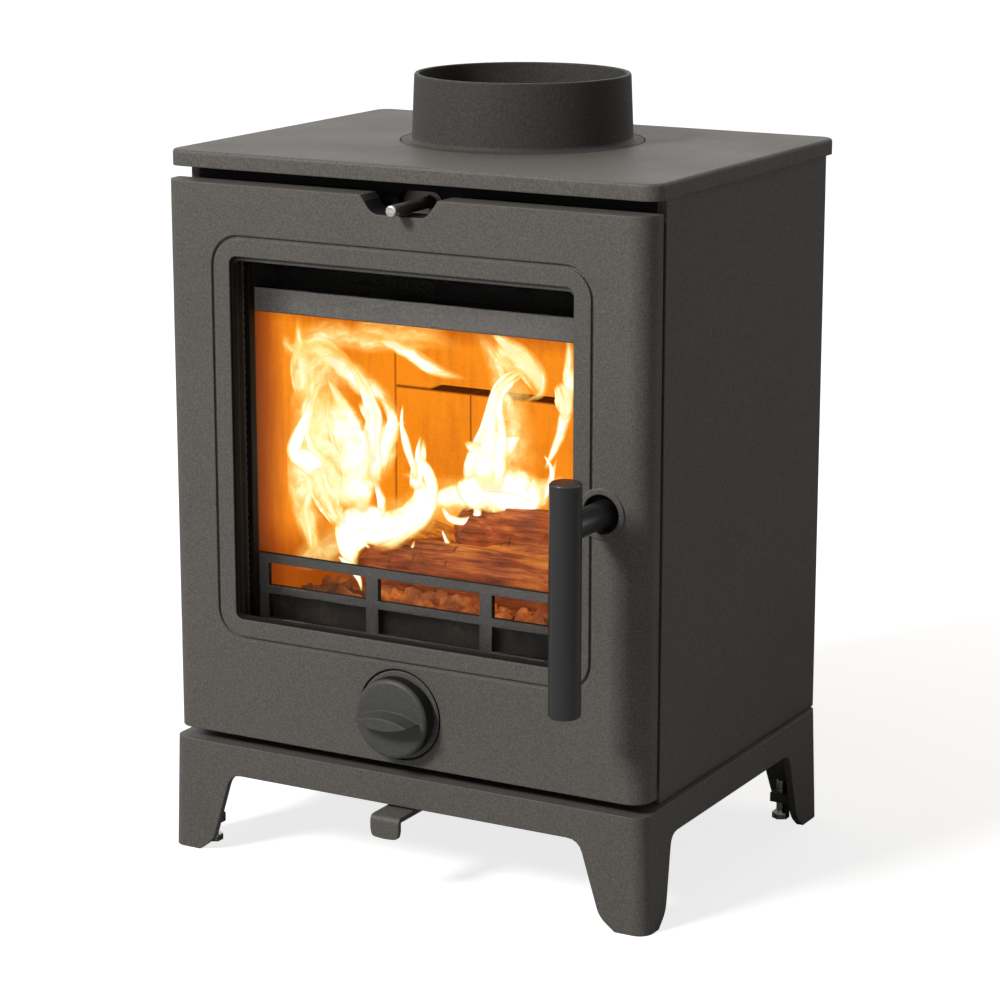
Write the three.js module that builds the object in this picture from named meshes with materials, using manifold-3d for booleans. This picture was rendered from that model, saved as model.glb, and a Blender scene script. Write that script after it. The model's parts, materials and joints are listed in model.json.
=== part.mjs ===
// A small cast box stove for a 127 mm flue pipe, in millimetres, +Z up.
// The origin is on the floor, under the middle of the stove; -Y is the door side and +X is to its right.
import * as THREE from "three";
import { mergeVertices } from "three/addons/utils/BufferGeometryUtils.js";
import Module from "manifold-3d";

const wasm = await Module();
wasm.setup();

// ---------------------------------------------------------------- driving sizes
const CLEAR = 0.3; // gap between two pieces that touch
const ARC_STEPS = 4; // half the number of facets on a quarter-round corner
const PAST = 1; // how far a cut, or the root of a joined form, runs past the face it meets

const flue = {
  pipe: 127,
  wall: 3,
  rise: 41.5,
  taper: 1.6,
  play: 1,
  flange: 6.8,
  flangeThick: 4.6,
  seam: 0.8,
  inset: 147,
};
const plate = { width: 334, depth: 253, thick: 10, cornerR: 10, setback: 7, edgeR: 2 };
const body = { width: 325.2, depth: 226, height: 361.4, wall: 6, ledge: 16, ledgeThick: 5 };
const base = {
  height: 73,
  width: 332.6,
  flare: 2.9,
  overhang: 1.6,
  cornerR: 9,
  wall: 4.5,
  apron: 19.4,
  backInset: 0.8,
};
const leg = { widthTop: 42.5, widthFoot: 29, sideTop: 37, sideFoot: 25, rearTop: 46, rearFoot: 34 };
const legRound = { fillet: 8, foot: 8 };
const hatch = { side: 56, front: 60, back: 16, cornerR: 12 };
const leveller = {
  inset: 19,
  radius: 3,
  headAcross: 10,
  headThick: 4,
  reach: 26,
  lug: 11,
  lugThick: 6,
  lugLow: 12,
};

const door = {
  width: 330.6,
  depth: 18,
  gap: 9.3,
  lift: 7,
  drop: 7.8,
  cornerR: 12.6,
  skin: 6,
  flange: 5,
};
const pane = { stile: 47.3, height: 227.6, sill: 76, cornerR: 5, step: 1.2, head: 2.9, stepDepth: 2.2 };
const bead = { offset: 11.9, width: 2.2, depth: 1.6, cornerR: 18.5 };
const notch = { centre: 2, top: 53, foot: 37, depth: 11, round: 5, rim: 4 };
const glass = { thick: 4, lap: 2.4, gasket: 2, gasketWidth: 3.2 };
const clip = { width: 18, thick: 1.5, inset: 34, boss: 3.5, bite: 1.8, screwHead: 3.2, screwHeadThick: 2 };
const rope = { radius: 3.1, rib: 2.5, side: 38.7, top: 22.9, foot: 8.4, cornerR: 16, seat: 6 };

const hinge = {
  inset: 11.8,
  back: 12.5,
  eye: 5.8,
  eyeTall: 14,
  ear: 9,
  pin: 2.5,
  headR: 4.2,
  headThick: 2.5,
  tail: 2,
  foot: 62,
  head: 66,
  play: 0.3,
  recessSkin: 5,
  recessIn: 4.5,
};
const hingeArm = { near: -2, far: 5.5, root: 8.3, padThick: 3 };
const handle = { inset: 28.6, lift: 173.3, standoff: 44.3, barR: 9.5, length: 138, above: 28 };
const stem = { radius: 8, spindle: 4.5, square: 3.5, squareEnd: 1.2, socket: 5 };
const boss = { ringR: 15, ringRise: 1.2, holeR: 11.75, holeDepth: 5, hubR: 9.5 };
const latch = { thick: 4, reach: 14, width: 9, hubR: 6.5, play: 1 };
const keeper = {
  clear: 0.7,
  wall: 4,
  plate: 11,
  thick: 2.6,
  tall: 48,
  wallTall: 21,
  nose: 1.2,
  screwIn: 6,
  headR: 3.6,
  headThick: 1.6,
};

const knob = {
  radius: 25,
  thick: 9.5,
  standoff: 2.5,
  lift: 31.6,
  edgeR: 3,
  grip: 39,
  gripThick: 8.6,
  gripRise: 12,
};
const airRing = { radius: 27.5, width: 1.2, depth: 1.2 };
const airHole = { inner: 6.5, outer: 15, sweep: 80 };
const shutter = { radius: 17.2, thick: 2, stud: 4, studOut: 2.8 };

const mouth = { jamb: 34.6, lift: 25, height: 290, cornerR: 8 };
const rodSlot = { centre: 0.5, length: 30, height: 14.3, below: 14.2 };
const airSlot = { length: 46, height: 11, offset: 1, shut: 8 };
const slide = {
  thick: 3,
  height: 23,
  margin: 9,
  rodR: 3.5,
  rodAt: 3.6,
  rodOut: 39.5,
  rodBite: 2,
  tip: 7,
  rail: 1.8,
  railBite: 2.5,
  lip: 2,
};
const duct = { lip: 15.2, sheet: 3, depth: 28, drop: 90.6, flange: 8 };

const ashSpace = 41;
const firebox = { boltGap: 1, sideBrick: 18, rearBrick: 24, rearGap: 14, sideRise: 189, slope: 20 };
const backBrick = { rise: 120, share: 0.55, slotEnd: 26, slotHeight: 4 };
const baffle = { thick: 12, throat: 18 };
const grateFrame = { thick: 6, band: 24, lip: 8.3, upstand: 20, upstandThick: 4, upstandBack: 8 };
const grate = { thick: 5, slotWidth: 8, barWidth: 9, spine: 14, rim: 13 };
const guard = {
  thick: 4,
  height: 44.5,
  rail: 5.8,
  lowRail: 5,
  gap: 14.7,
  post: 8.5,
  bays: 3,
  off: 1.7,
  play: 0.8,
};
const wood = { sides: 14, rings: 6, swell: 0.05, cleft: 0.24, endShare: 0.93, rest: 0.4 };
const logs = {
  front: { x: 12, y: 8, rest: 0, radius: 20, length: 208, yaw: -2, tilt: 0, split: 1.9 },
  back: { x: 6, y: 60, rest: 0, radius: 20, length: 196, yaw: 2, tilt: 0, split: 2.6 },
  top: { x: 46, y: 33.9, rest: 28.2, radius: 17, length: 150, yaw: 4, tilt: 0, split: 4.4 },
};
const ashPan = { play: 11, depth: 144, height: 30, wall: 2, pull: 30, pullOut: 15, pullThick: 3 };

const riddle = {
  thick: 4,
  inset: 14,
  depth: 140,
  rim: 13,
  flap: 24,
  flapWidth: 28,
  rail: 3,
  railEnd: 5,
  lip: 6,
};
const lever = {
  width: 20,
  thick: 3,
  below: 1.6,
  out: 17.4,
  tab: 14.5,
  bendR: 4,
  upright: 205.5,
  round: 6,
  slotPlay: 1,
};
const leverGuide = { thick: 3, width: 12, at: 44, ear: 10 };
const leverTravel = 20;
const tie = { radius: 3, inset: 8.3, rearInset: 7, side: 8.6, headAcross: 10, headThick: 4, bite: 6 };
const screw = { radius: 2.5, head: 4.5, headThick: 3 };
const nut = { latch: 11, shutter: 13, shutterThick: 5, riddle: 8, riddleThick: 4.4 };
const collarBolts = 3;

// ---------------------------------------------------------------- places worked out from the sizes
const barReach = handle.standoff + handle.barR;
const doorFront = (barReach - plate.setback - plate.depth) / 2;
const doorBack = doorFront + door.depth;
const bodyFront = doorBack + door.gap;
const frameBack = bodyFront + body.wall;
const bodyBack = bodyFront + body.depth;
const rearInner = bodyBack - body.wall;
const bodySide = body.width / 2;
const sideInner = bodySide - body.wall;

const bodyFoot = base.height + CLEAR;
const bodyTop = base.height + body.height;
const plateFoot = bodyTop + CLEAR;
const plateTop = plateFoot + plate.thick;
const plateFront = doorFront + plate.setback;
const flueY = plateFront + flue.inset;
const boreR = flue.pipe / 2 + flue.play;
const collarRimR = boreR + flue.wall;
const collarFootR = collarRimR + flue.taper;
const flangeR = collarFootR + flue.flange;

const baseFront = doorFront - base.overhang;
const baseBack = bodyBack - base.backInset;
const baseSide = base.width / 2;
const apronFoot = base.height - base.apron;

const doorSide = door.width / 2;
const doorFoot = base.height + door.lift;
const doorTop = plateFoot - door.drop;
const skinBack = doorFront + door.skin;
const paneFoot = doorFoot + pane.sill;
const paneTop = paneFoot + pane.height;
const paneSide = doorSide - pane.stile;
const glassFront = skinBack + glass.gasket + CLEAR;
const glassBack = glassFront + glass.thick;

const mouthFoot = base.height + mouth.lift;
const mouthTop = mouthFoot + mouth.height;
const mouthSide = sideInner - mouth.jamb;
const airSlotX = mouthSide / 2 + airSlot.offset;
const ledgeTop = mouthFoot + ashSpace;
const grateFrameFoot = ledgeTop + CLEAR;
const grateFrameTop = grateFrameFoot + grateFrame.thick;
const hearthZ = grateFrameTop + CLEAR;
const fireSide = sideInner - tie.side - tie.radius - firebox.boltGap - firebox.sideBrick;
const brickFront = frameBack + CLEAR;
const backBrickBack = rearInner - firebox.rearGap;
const backBrickFront = backBrickBack - firebox.rearBrick;

const hingeX = -doorSide + hinge.inset;
const hingeY = doorFront + hinge.back;
const handleX = doorSide - handle.inset;
const handleZ = doorFoot + handle.lift;
const knobZ = doorFoot + knob.lift;
const rodZ = plateFoot - rodSlot.below;

const leverTop = apronFoot - lever.below;
const leverFoot = leverTop - lever.thick;
const leverFront = baseFront - lever.out;
const uprightFront = doorFront + lever.upright;
const tieX = sideInner - tie.side;
const tieFront = frameBack + tie.inset;
const tieRear = rearInner - tie.rearInset;
const floorFoot = mouthFoot - body.wall;
const ropeSeat = doorBack - rope.seat;
const slideFoot = rodZ - slide.height / 2;

// ---------------------------------------------------------------- finishes
const finish = (colour, roughness, metalness, extra = {}) =>
  new THREE.MeshStandardMaterial({ color: colour, roughness, metalness, ...extra });

const paintedIron = finish(0x5c5955, 0.72, 0.35);
const paintedDark = finish(0x3f3d3b, 0.7, 0.35);
const satinBar = finish(0x45464a, 0.42, 0.6);
const brightSteel = finish(0xb9b9b6, 0.35, 0.9);
const bareIron = finish(0x34322f, 0.85, 0.4);
const sheetSteel = finish(0x6f6f6d, 0.55, 0.7);
const fireBrick = finish(0xc9a877, 0.95, 0);
const charredWood = finish(0x3a2a1e, 0.9, 0);
const ropeGrey = finish(0x8d8a82, 0.95, 0);
const clearGlass = finish(0xcfd6d6, 0.05, 0, { transparent: true, opacity: 0.35 });

// ---------------------------------------------------------------- solids
// A three.js geometry as a solid that can be joined and cut.
function solid(geometry) {
  const shell = geometry.clone();
  shell.deleteAttribute("normal");
  shell.deleteAttribute("uv");
  const merged = mergeVertices(shell, 1e-4);
  return new wasm.Manifold(
    new wasm.Mesh({
      numProp: 3,
      vertProperties: new Float32Array(merged.attributes.position.array),
      triVerts: new Uint32Array(merged.index.array),
    }),
  );
}

// The solid back as a three.js geometry with flat faces.
function geometryOf(shape) {
  const mesh = shape.getMesh();
  const geometry = new THREE.BufferGeometry();
  geometry.setAttribute("position", new THREE.BufferAttribute(mesh.vertProperties, mesh.numProp));
  geometry.setIndex(new THREE.BufferAttribute(mesh.triVerts, 1));
  const flat = geometry.toNonIndexed();
  flat.computeVertexNormals();
  return flat;
}

const join = (first, ...others) => others.reduce((sum, one) => sum.add(one), first);
const cut = (first, ...others) => others.reduce((rest, one) => rest.subtract(one), first);

// A box between two corners, given as pairs in either order.
function block(x0, x1, y0, y1, z0, z1) {
  const box = new THREE.BoxGeometry(Math.abs(x1 - x0), Math.abs(y1 - y0), Math.abs(z1 - z0));
  return solid(box.translate((x0 + x1) / 2, (y0 + y1) / 2, (z0 + z1) / 2));
}

const extrude = (outline, length) =>
  new THREE.ExtrudeGeometry(outline, { depth: length, bevelEnabled: false, curveSegments: ARC_STEPS });

// An outline in X and Y, standing from z0 to z1.
const alongZ = (outline, z0, z1) => solid(extrude(outline, z1 - z0).translate(0, 0, z0));
// An outline in X and Z, running from y0 to y1.
const alongY = (outline, y0, y1) =>
  solid(extrude(outline, y1 - y0).rotateX(Math.PI / 2).translate(0, y1, 0));
// An outline in Y and Z, running from x0 to x1.
function alongX(outline, x0, x1) {
  const turn = new THREE.Matrix4().makeBasis(
    new THREE.Vector3(0, 1, 0),
    new THREE.Vector3(0, 0, 1),
    new THREE.Vector3(1, 0, 0),
  );
  return solid(extrude(outline, x1 - x0).applyMatrix4(turn).translate(x0, 0, 0));
}

// A round bar along one axis; the centre's place along that axis isn't used.
function bar(axis, [x, y, z], radius, from, to, sides = 20) {
  const round = new THREE.CylinderGeometry(radius, radius, to - from, sides);
  if (axis === "x") round.rotateZ(Math.PI / 2).translate((from + to) / 2, y, z);
  if (axis === "y") round.translate(x, (from + to) / 2, z);
  if (axis === "z") round.rotateX(Math.PI / 2).translate(x, y, (from + to) / 2);
  return solid(round);
}
const hexHead = (axis, centre, across, from, to) => bar(axis, centre, across / Math.sqrt(3), from, to, 6);

function rounded(x0, x1, y0, y1, r) {
  const outline = new THREE.Shape();
  outline.moveTo(x0 + r, y0).lineTo(x1 - r, y0);
  outline.absarc(x1 - r, y0 + r, r, -Math.PI / 2, 0);
  outline.lineTo(x1, y1 - r).absarc(x1 - r, y1 - r, r, 0, Math.PI / 2);
  outline.lineTo(x0 + r, y1).absarc(x0 + r, y1 - r, r, Math.PI / 2, Math.PI);
  outline.lineTo(x0, y0 + r).absarc(x0 + r, y0 + r, r, Math.PI, 1.5 * Math.PI);
  return outline;
}

// A closed outline through corners, each rounded by its own radius: [u, v, r].
function softPolygon(corners) {
  const outline = new THREE.Shape();
  corners.forEach(([u, v, r = 0], i) => {
    const here = new THREE.Vector2(u, v);
    const [pu, pv] = corners[(i + corners.length - 1) % corners.length];
    const [nu, nv] = corners[(i + 1) % corners.length];
    const toPrevious = new THREE.Vector2(pu - u, pv - v).normalize();
    const toNext = new THREE.Vector2(nu - u, nv - v).normalize();
    const start = here.clone().addScaledVector(toPrevious, r);
    const end = here.clone().addScaledVector(toNext, r);
    if (i === 0) outline.moveTo(start.x, start.y);
    else outline.lineTo(start.x, start.y);
    if (r > 0) outline.quadraticCurveTo(u, v, end.x, end.y);
  });
  outline.closePath();
  return outline;
}

function frameOutline(outer, inner) {
  outer.holes.push(inner);
  return outer;
}

const mirrorX = (shape) => shape.mirror([1, 0, 0]);

// ---------------------------------------------------------------- the model
const stove = new THREE.Group();

function place(name, shape, material) {
  const mesh = new THREE.Mesh(geometryOf(shape), material);
  mesh.name = name;
  stove.add(mesh);
}

const corners = [
  ["front_left", -1, -1],
  ["front_right", 1, -1],
  ["rear_left", -1, 1],
  ["rear_right", 1, 1],
];
const tieAt = (side, rear) => [side * tieX, rear > 0 ? tieRear : tieFront, 0];
const tieHoles = (z0, z1) =>
  join(...corners.map(([, side, rear]) => bar("z", tieAt(side, rear), tie.radius + CLEAR, z0, z1)));

// ---------------------------------------------------------------- base
// A tapered block whose sides lean out towards the floor.
function flaredBlock(inset, z0, z1) {
  const lean = (z) => (base.flare * (base.height - z)) / base.height;
  const r = Math.max(base.cornerR - inset, 1);
  const ring = (z) => {
    const x = baseSide + lean(z) - inset;
    return rounded(-x, x, baseFront + inset, baseBack - inset, r).getPoints(ARC_STEPS);
  };
  const low = ring(z0).slice(0, -1);
  const high = ring(z1).slice(0, -1);
  const count = low.length;
  const positions = [...low.map((p) => [p.x, p.y, z0]), ...high.map((p) => [p.x, p.y, z1])].flat();
  positions.push(0, (baseFront + baseBack) / 2, z0, 0, (baseFront + baseBack) / 2, z1);
  const faces = [];
  for (let i = 0; i < count; i++) {
    const next = (i + 1) % count;
    faces.push(i, next, count + next, i, count + next, count + i);
    faces.push(2 * count, next, i, 2 * count + 1, count + i, count + next);
  }
  const geometry = new THREE.BufferGeometry();
  geometry.setAttribute("position", new THREE.Float32BufferAttribute(positions, 3));
  geometry.setIndex(faces);
  return solid(geometry);
}

// The slot that the lever's upright travels in.
function leverSlot(z0, z1) {
  const side = lever.width / 2 + lever.slotPlay;
  const front = uprightFront - leverTravel - lever.slotPlay;
  return block(-side, side, front, uprightFront + lever.thick + lever.slotPlay, z0, z1);
}

// The gap between two legs, with filleted top corners and rounded toes.
function legGap(leftTop, leftFoot, rightFoot, rightTop) {
  const below = -legRound.foot * 2;
  const leftLean = (leftTop - leftFoot) / apronFoot;
  const rightLean = (rightFoot - rightTop) / apronFoot;
  return softPolygon([
    [leftFoot - legRound.foot * 1.4, below],
    [leftFoot - legRound.foot, 0, 0],
    [leftFoot + leftLean * legRound.foot, legRound.foot, legRound.foot * 0.7],
    [leftTop, apronFoot, legRound.fillet],
    [rightTop, apronFoot, legRound.fillet],
    [rightFoot - rightLean * legRound.foot, legRound.foot, legRound.foot * 0.7],
    [rightFoot + legRound.foot, 0, 0],
    [rightFoot + legRound.foot * 1.4, below],
  ]);
}

const levellerX = (side) => side * (baseSide + base.flare - leveller.inset);
const levellerY = (rear) => (rear > 0 ? baseBack - leveller.inset : baseFront + leveller.inset);

function baseFrame() {
  const margin = 20;
  const flareSide = baseSide + base.flare;
  const shell = cut(
    flaredBlock(0, 0, base.height),
    flaredBlock(base.wall, -1, base.height - base.wall),
  );
  const frontGap = legGap(
    -baseSide + leg.widthTop,
    -flareSide + leg.widthFoot,
    flareSide - leg.widthFoot,
    baseSide - leg.widthTop,
  );
  const sideGap = legGap(
    baseFront + leg.sideTop,
    baseFront + leg.sideFoot,
    baseBack - leg.rearFoot,
    baseBack - leg.rearTop,
  );
  const hatchSide = baseSide - hatch.side;
  const hatchBack = uprightFront - leverTravel - hatch.back;
  const opening = rounded(-hatchSide, hatchSide, baseFront + hatch.front, hatchBack, hatch.cornerR);
  const frame = cut(
    shell,
    alongY(frontGap, baseFront - margin, baseBack + margin),
    alongX(sideGap, -flareSide - margin, flareSide + margin),
    alongZ(opening, apronFoot, base.height + PAST),
    leverSlot(apronFoot, base.height + PAST),
    tieHoles(apronFoot, base.height + 1),
  );
  const lugs = corners.map(([, side, rear]) => levellerLug(side, rear));
  return join(frame, ...lugs);
}

// The lug that carries a levelling bolt in the corner of a leg.
function levellerLug(side, rear) {
  const x = levellerX(side);
  const y = levellerY(rear);
  const wallX = side * (baseSide - base.wall / 2);
  const wallY = rear > 0 ? baseBack - base.wall / 2 : baseFront + base.wall / 2;
  const low = leveller.lugLow;
  const high = low + leveller.lugThick;
  const reachX = x - (side * leveller.lug) / 2;
  const reachY = y - (rear * leveller.lug) / 2;
  const pad = block(reachX, wallX, reachY, wallY, low, high);
  return cut(pad, bar("z", [x, y, 0], leveller.radius + CLEAR, low - PAST, high + PAST));
}

function levellingBolt(side, rear) {
  const at = [levellerX(side), levellerY(rear), 0];
  const head = hexHead("z", at, leveller.headAcross, CLEAR, CLEAR + leveller.headThick);
  return join(head, bar("z", at, leveller.radius, leveller.headThick / 2, leveller.reach));
}

// ---------------------------------------------------------------- body castings
function sidePanel(side) {
  const panel = block(sideInner, bodySide, bodyFront, bodyBack, bodyFoot, bodyTop);
  const ledge = (top) =>
    block(
      sideInner - body.ledge,
      sideInner + 1,
      frameBack + CLEAR,
      rearInner - CLEAR,
      top - body.ledgeThick,
      top,
    );
  const whole = cut(
    join(panel, ledge(floorFoot - CLEAR), ledge(ledgeTop)),
    tieHoles(base.height - 1, ledgeTop + 1),
  );
  return side > 0 ? whole : mirrorX(whole);
}

function rearPanel() {
  const panel = block(-sideInner + CLEAR, sideInner - CLEAR, rearInner, bodyBack, bodyFoot, bodyTop);
  const shelf = block(
    -sideInner + body.ledge + CLEAR,
    sideInner - body.ledge - CLEAR,
    rearInner - body.ledge,
    rearInner + 1,
    ledgeTop - body.ledgeThick,
    ledgeTop,
  );
  const ribs = [-1, 1].map((side) =>
    block(
      side * sideInner * 0.5 - 2,
      side * sideInner * 0.5 + 2,
      rearInner - 5,
      rearInner + 1,
      hearthZ,
      bodyTop - 4,
    ),
  );
  return join(panel, shelf, ...ribs);
}

function floorPlate() {
  const side = sideInner - CLEAR;
  const sheet = block(-side, side, frameBack + CLEAR, rearInner - CLEAR, floorFoot, mouthFoot - CLEAR);
  const low = floorFoot - PAST;
  return cut(sheet, leverSlot(low, mouthFoot + PAST), tieHoles(low, mouthFoot + PAST));
}

// The eye and arm that carry one hinge pin, cast with the front frame.
function hingeEye(z) {
  const half = hinge.eyeTall / 2;
  const eye = bar("z", [hingeX, hingeY, 0], hinge.eye, z - half, z + half, 24);
  const arm = block(
    hingeX + hingeArm.near,
    hingeX + hingeArm.far,
    hingeY,
    bodyFront + 1,
    z - half,
    z + half,
  );
  const frameSide = -sideInner + CLEAR;
  const pad = block(
    Math.min(hingeX + hingeArm.near, frameSide),
    Math.max(hingeX + hingeArm.far, frameSide + hingeArm.root),
    bodyFront - hingeArm.padThick,
    bodyFront + PAST,
    z - half,
    z + half,
  );
  const pinHole = bar("z", [hingeX, hingeY, 0], hinge.pin + CLEAR, z - half - PAST, z + half + PAST);
  return cut(join(eye, arm, pad), pinHole);
}
const hingeHeights = [doorFoot + hinge.foot, doorTop - hinge.head];

function frontFrame() {
  const side = sideInner - CLEAR;
  const outline = frameOutline(
    rounded(-side, side, bodyFoot, bodyTop, 1),
    rounded(-mouthSide, mouthSide, mouthFoot, mouthTop, mouth.cornerR),
  );
  const halfSlot = rodSlot.length / 2;
  const slotRound = rodSlot.height / 2 - 0.05;
  const rodWindow = rounded(
    rodSlot.centre - halfSlot,
    rodSlot.centre + halfSlot,
    rodZ - rodSlot.height / 2,
    rodZ + rodSlot.height / 2,
    slotRound,
  );
  return cut(
    join(alongY(outline, bodyFront, frameBack), ...hingeHeights.map(hingeEye), ...slideRails()),
    alongY(rodWindow, bodyFront - 1, frameBack + 1),
    ...[-1, 1].map((s) => airSlotTool(s * airSlotX, bodyFront - 1, frameBack + 1)),
    ...keeperScrewPlaces().map((at) => bar("y", at, screw.radius, bodyFront - 1, bodyFront + 4.5, 12)),
  );
}

// The two lipped rails behind the frame that carry the airwash slide.
function slideRails() {
  const reach = fireSide - duct.sheet - 2 * CLEAR - 1;
  const lipFront = frameBack + slide.thick + 2 * CLEAR;
  const lipBack = lipFront + slide.lip;
  const slideTop = slideFoot + slide.height;
  const rail = (edge, far, lipEnd) =>
    join(
      block(-reach, reach, frameBack - PAST, lipBack, edge, far),
      block(-reach, reach, lipFront, lipBack, far, lipEnd),
    );
  const lowEdge = slideFoot - CLEAR;
  const highEdge = slideTop + CLEAR;
  return [
    rail(lowEdge, lowEdge - slide.rail, lowEdge + slide.railBite),
    rail(highEdge, highEdge + slide.rail, highEdge - slide.railBite),
  ];
}

function airSlotTool(x, y0, y1) {
  const half = airSlot.length / 2;
  const low = rodZ - airSlot.height / 2;
  return alongY(rounded(x - half, x + half, low, low + airSlot.height, airSlot.height / 2 - 0.05), y0, y1);
}

function topPlate() {
  const side = plate.width / 2;
  const outline = rounded(-side, side, plateFront, plateFront + plate.depth, plate.cornerR);
  const slab = join(alongZ(outline, plateFoot, plateTop - plate.edgeR), plateEdge());
  const seat = plateTop - flue.flangeThick - CLEAR;
  const ledgeBoltHoles = collarBoltPlaces().map((at) =>
    bar("z", at, screw.radius + CLEAR, plateFoot - 1, seat + 1, 12),
  );
  return cut(
    slab,
    bar("z", [0, flueY, 0], flangeR + flue.seam, seat, plateTop + 1, 64),
    bar("z", [0, flueY, 0], boreR, plateFoot - 1, seat + 1, 64),
    tieHoles(plateFoot - 1, plateFoot + tie.bite),
    ...ledgeBoltHoles,
  );
}

// The rounded upper edge of the plate: a stack of rings that step in along a quarter circle.
function plateEdge() {
  const steps = 3;
  const rings = [];
  for (let i = 0; i <= steps; i++) {
    const angle = (i / steps) * (Math.PI / 2);
    const inset = plate.edgeR * (1 - Math.cos(angle));
    const z = plateTop - plate.edgeR + plate.edgeR * Math.sin(angle);
    const side = plate.width / 2 - inset;
    const back = plateFront + plate.depth - inset;
    const outline = rounded(-side, side, plateFront + inset, back, plate.cornerR - inset);
    rings.push({ z, points: outline.getPoints(ARC_STEPS).slice(0, -1) });
  }
  return stackOfRings(rings);
}

// Closed solid through rings of the same number of points, lowest first.
function stackOfRings(rings) {
  const count = rings[0].points.length;
  const positions = rings.flatMap(({ z, points }) => points.flatMap((p) => [p.x, p.y, z]));
  const middle = (ring) => {
    const sum = ring.points.reduce((a, p) => [a[0] + p.x, a[1] + p.y], [0, 0]);
    return [sum[0] / count, sum[1] / count, ring.z];
  };
  positions.push(...middle(rings[0]), ...middle(rings[rings.length - 1]));
  const foot = rings.length * count;
  const faces = [];
  for (let level = 0; level < rings.length; level++) {
    for (let i = 0; i < count; i++) {
      const a = level * count + i;
      const b = level * count + ((i + 1) % count);
      if (level === 0) faces.push(foot, b, a);
      if (level === rings.length - 1) faces.push(foot + 1, a, b);
      else faces.push(a, b, b + count, a, b + count, a + count);
    }
  }
  const geometry = new THREE.BufferGeometry();
  geometry.setAttribute("position", new THREE.Float32BufferAttribute(positions, 3));
  geometry.setIndex(faces);
  return solid(geometry);
}

// ---------------------------------------------------------------- flue collar
const collarBoltR = (boreR + flangeR) / 2;
function collarBoltPlaces() {
  return Array.from({ length: collarBolts }, (_, i) => {
    const angle = Math.PI / 2 + (i * 2 * Math.PI) / collarBolts;
    return [collarBoltR * Math.cos(angle), flueY + collarBoltR * Math.sin(angle), 0];
  });
}

// The cast socket: a drafted tube, its foot fillet and the flange that sits flush in the top plate.
function flueCollar() {
  const flangeTop = plateTop;
  const flangeFoot = flangeTop - flue.flangeThick;
  const rim = plateTop + flue.rise;
  const foot = 3;
  const profile = [[boreR, flangeFoot], [flangeR, flangeFoot], [flangeR, flangeTop]];
  const steps = 4;
  for (let i = 0; i <= steps; i++) {
    const angle = (i / steps) * (Math.PI / 2);
    profile.push([collarFootR + foot * (1 - Math.sin(angle)), flangeTop + foot * (1 - Math.cos(angle))]);
  }
  profile.push([collarRimR, rim - 1], [collarRimR - 0.6, rim], [boreR + 0.5, rim], [boreR, rim - 0.8]);
  profile.push([boreR, flangeFoot]);
  const lathe = new THREE.LatheGeometry(profile.map(([r, z]) => new THREE.Vector2(r, z)), 64);
  const tube = solid(lathe.rotateX(Math.PI / 2).translate(0, flueY, 0));
  return cut(
    tube,
    ...collarBoltPlaces().map((at) => bar("z", at, screw.radius + CLEAR, flangeFoot - 1, flangeTop - 1, 12)),
  );
}

function collarBolt([x, y]) {
  const top = plateTop - flue.flangeThick + 3;
  const under = plateFoot - CLEAR;
  const head = hexHead("z", [x, y, 0], screw.head * 1.8, under - screw.headThick, under);
  return join(head, bar("z", [x, y, 0], screw.radius, under - 1, top, 12));
}

function tieBolt(side, rear) {
  const at = tieAt(side, rear);
  const under = base.height - base.wall - CLEAR;
  const head = hexHead("z", at, tie.headAcross, under - tie.headThick, under);
  return join(head, bar("z", at, tie.radius, under - 1, plateFoot + tie.bite - CLEAR, 12));
}

// ---------------------------------------------------------------- door
// The door's plan: square at the back and rounded at the two front corners.
function doorPlan(inset, front) {
  const side = doorSide - inset;
  const r = door.cornerR - inset;
  const outline = new THREE.Shape();
  outline.moveTo(-side, doorBack + (inset ? 1 : 0));
  outline.lineTo(-side, front + r).absarc(-side + r, front + r, r, Math.PI, 1.5 * Math.PI);
  outline.lineTo(side - r, front).absarc(side - r, front + r, r, 1.5 * Math.PI, 2 * Math.PI);
  outline.lineTo(side, doorBack + (inset ? 1 : 0));
  outline.closePath();
  return outline;
}

// A ring that follows the rope seal, as wide as half on each side of the rope's middle line.
function ropeRing(half, y0, y1) {
  const side = doorSide - rope.side;
  const low = doorFoot + rope.foot;
  const high = doorTop - rope.top;
  const line = (d) => rounded(-side - d, side + d, low - d, high + d, rope.cornerR + d);
  return alongY(frameOutline(line(half), line(-half)), y0, y1);
}

function notchOutline(grow, above) {
  const foot = doorTop - notch.depth - grow;
  const slope = (notch.top - notch.foot) / 2 / notch.depth;
  const topHalf = notch.top / 2 + grow + slope * above;
  const footHalf = notch.foot / 2 + grow;
  return softPolygon([
    [notch.centre - topHalf, doorTop + above],
    [notch.centre - footHalf, foot, notch.round],
    [notch.centre + footHalf, foot, notch.round],
    [notch.centre + topHalf, doorTop + above],
  ]);
}

// The rim that carries the door's top edge round the notch.
function notchRim() {
  const rim = alongY(notchOutline(notch.rim, 0), skinBack - 1, doorBack);
  return cut(rim, block(-doorSide, doorSide, doorFront, doorBack + 1, doorTop, doorTop + 30));
}

const clipPlaces = () =>
  [-1, 1].flatMap((side) => [
    { x: side * (paneSide - clip.inset), edge: paneTop + glass.lap, way: 1 },
    { x: side * (paneSide - clip.inset), edge: paneFoot - glass.lap, way: -1 },
  ]);
const clipZ = ({ edge, way }) => edge + way * (clip.boss + CLEAR * 2);

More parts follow.
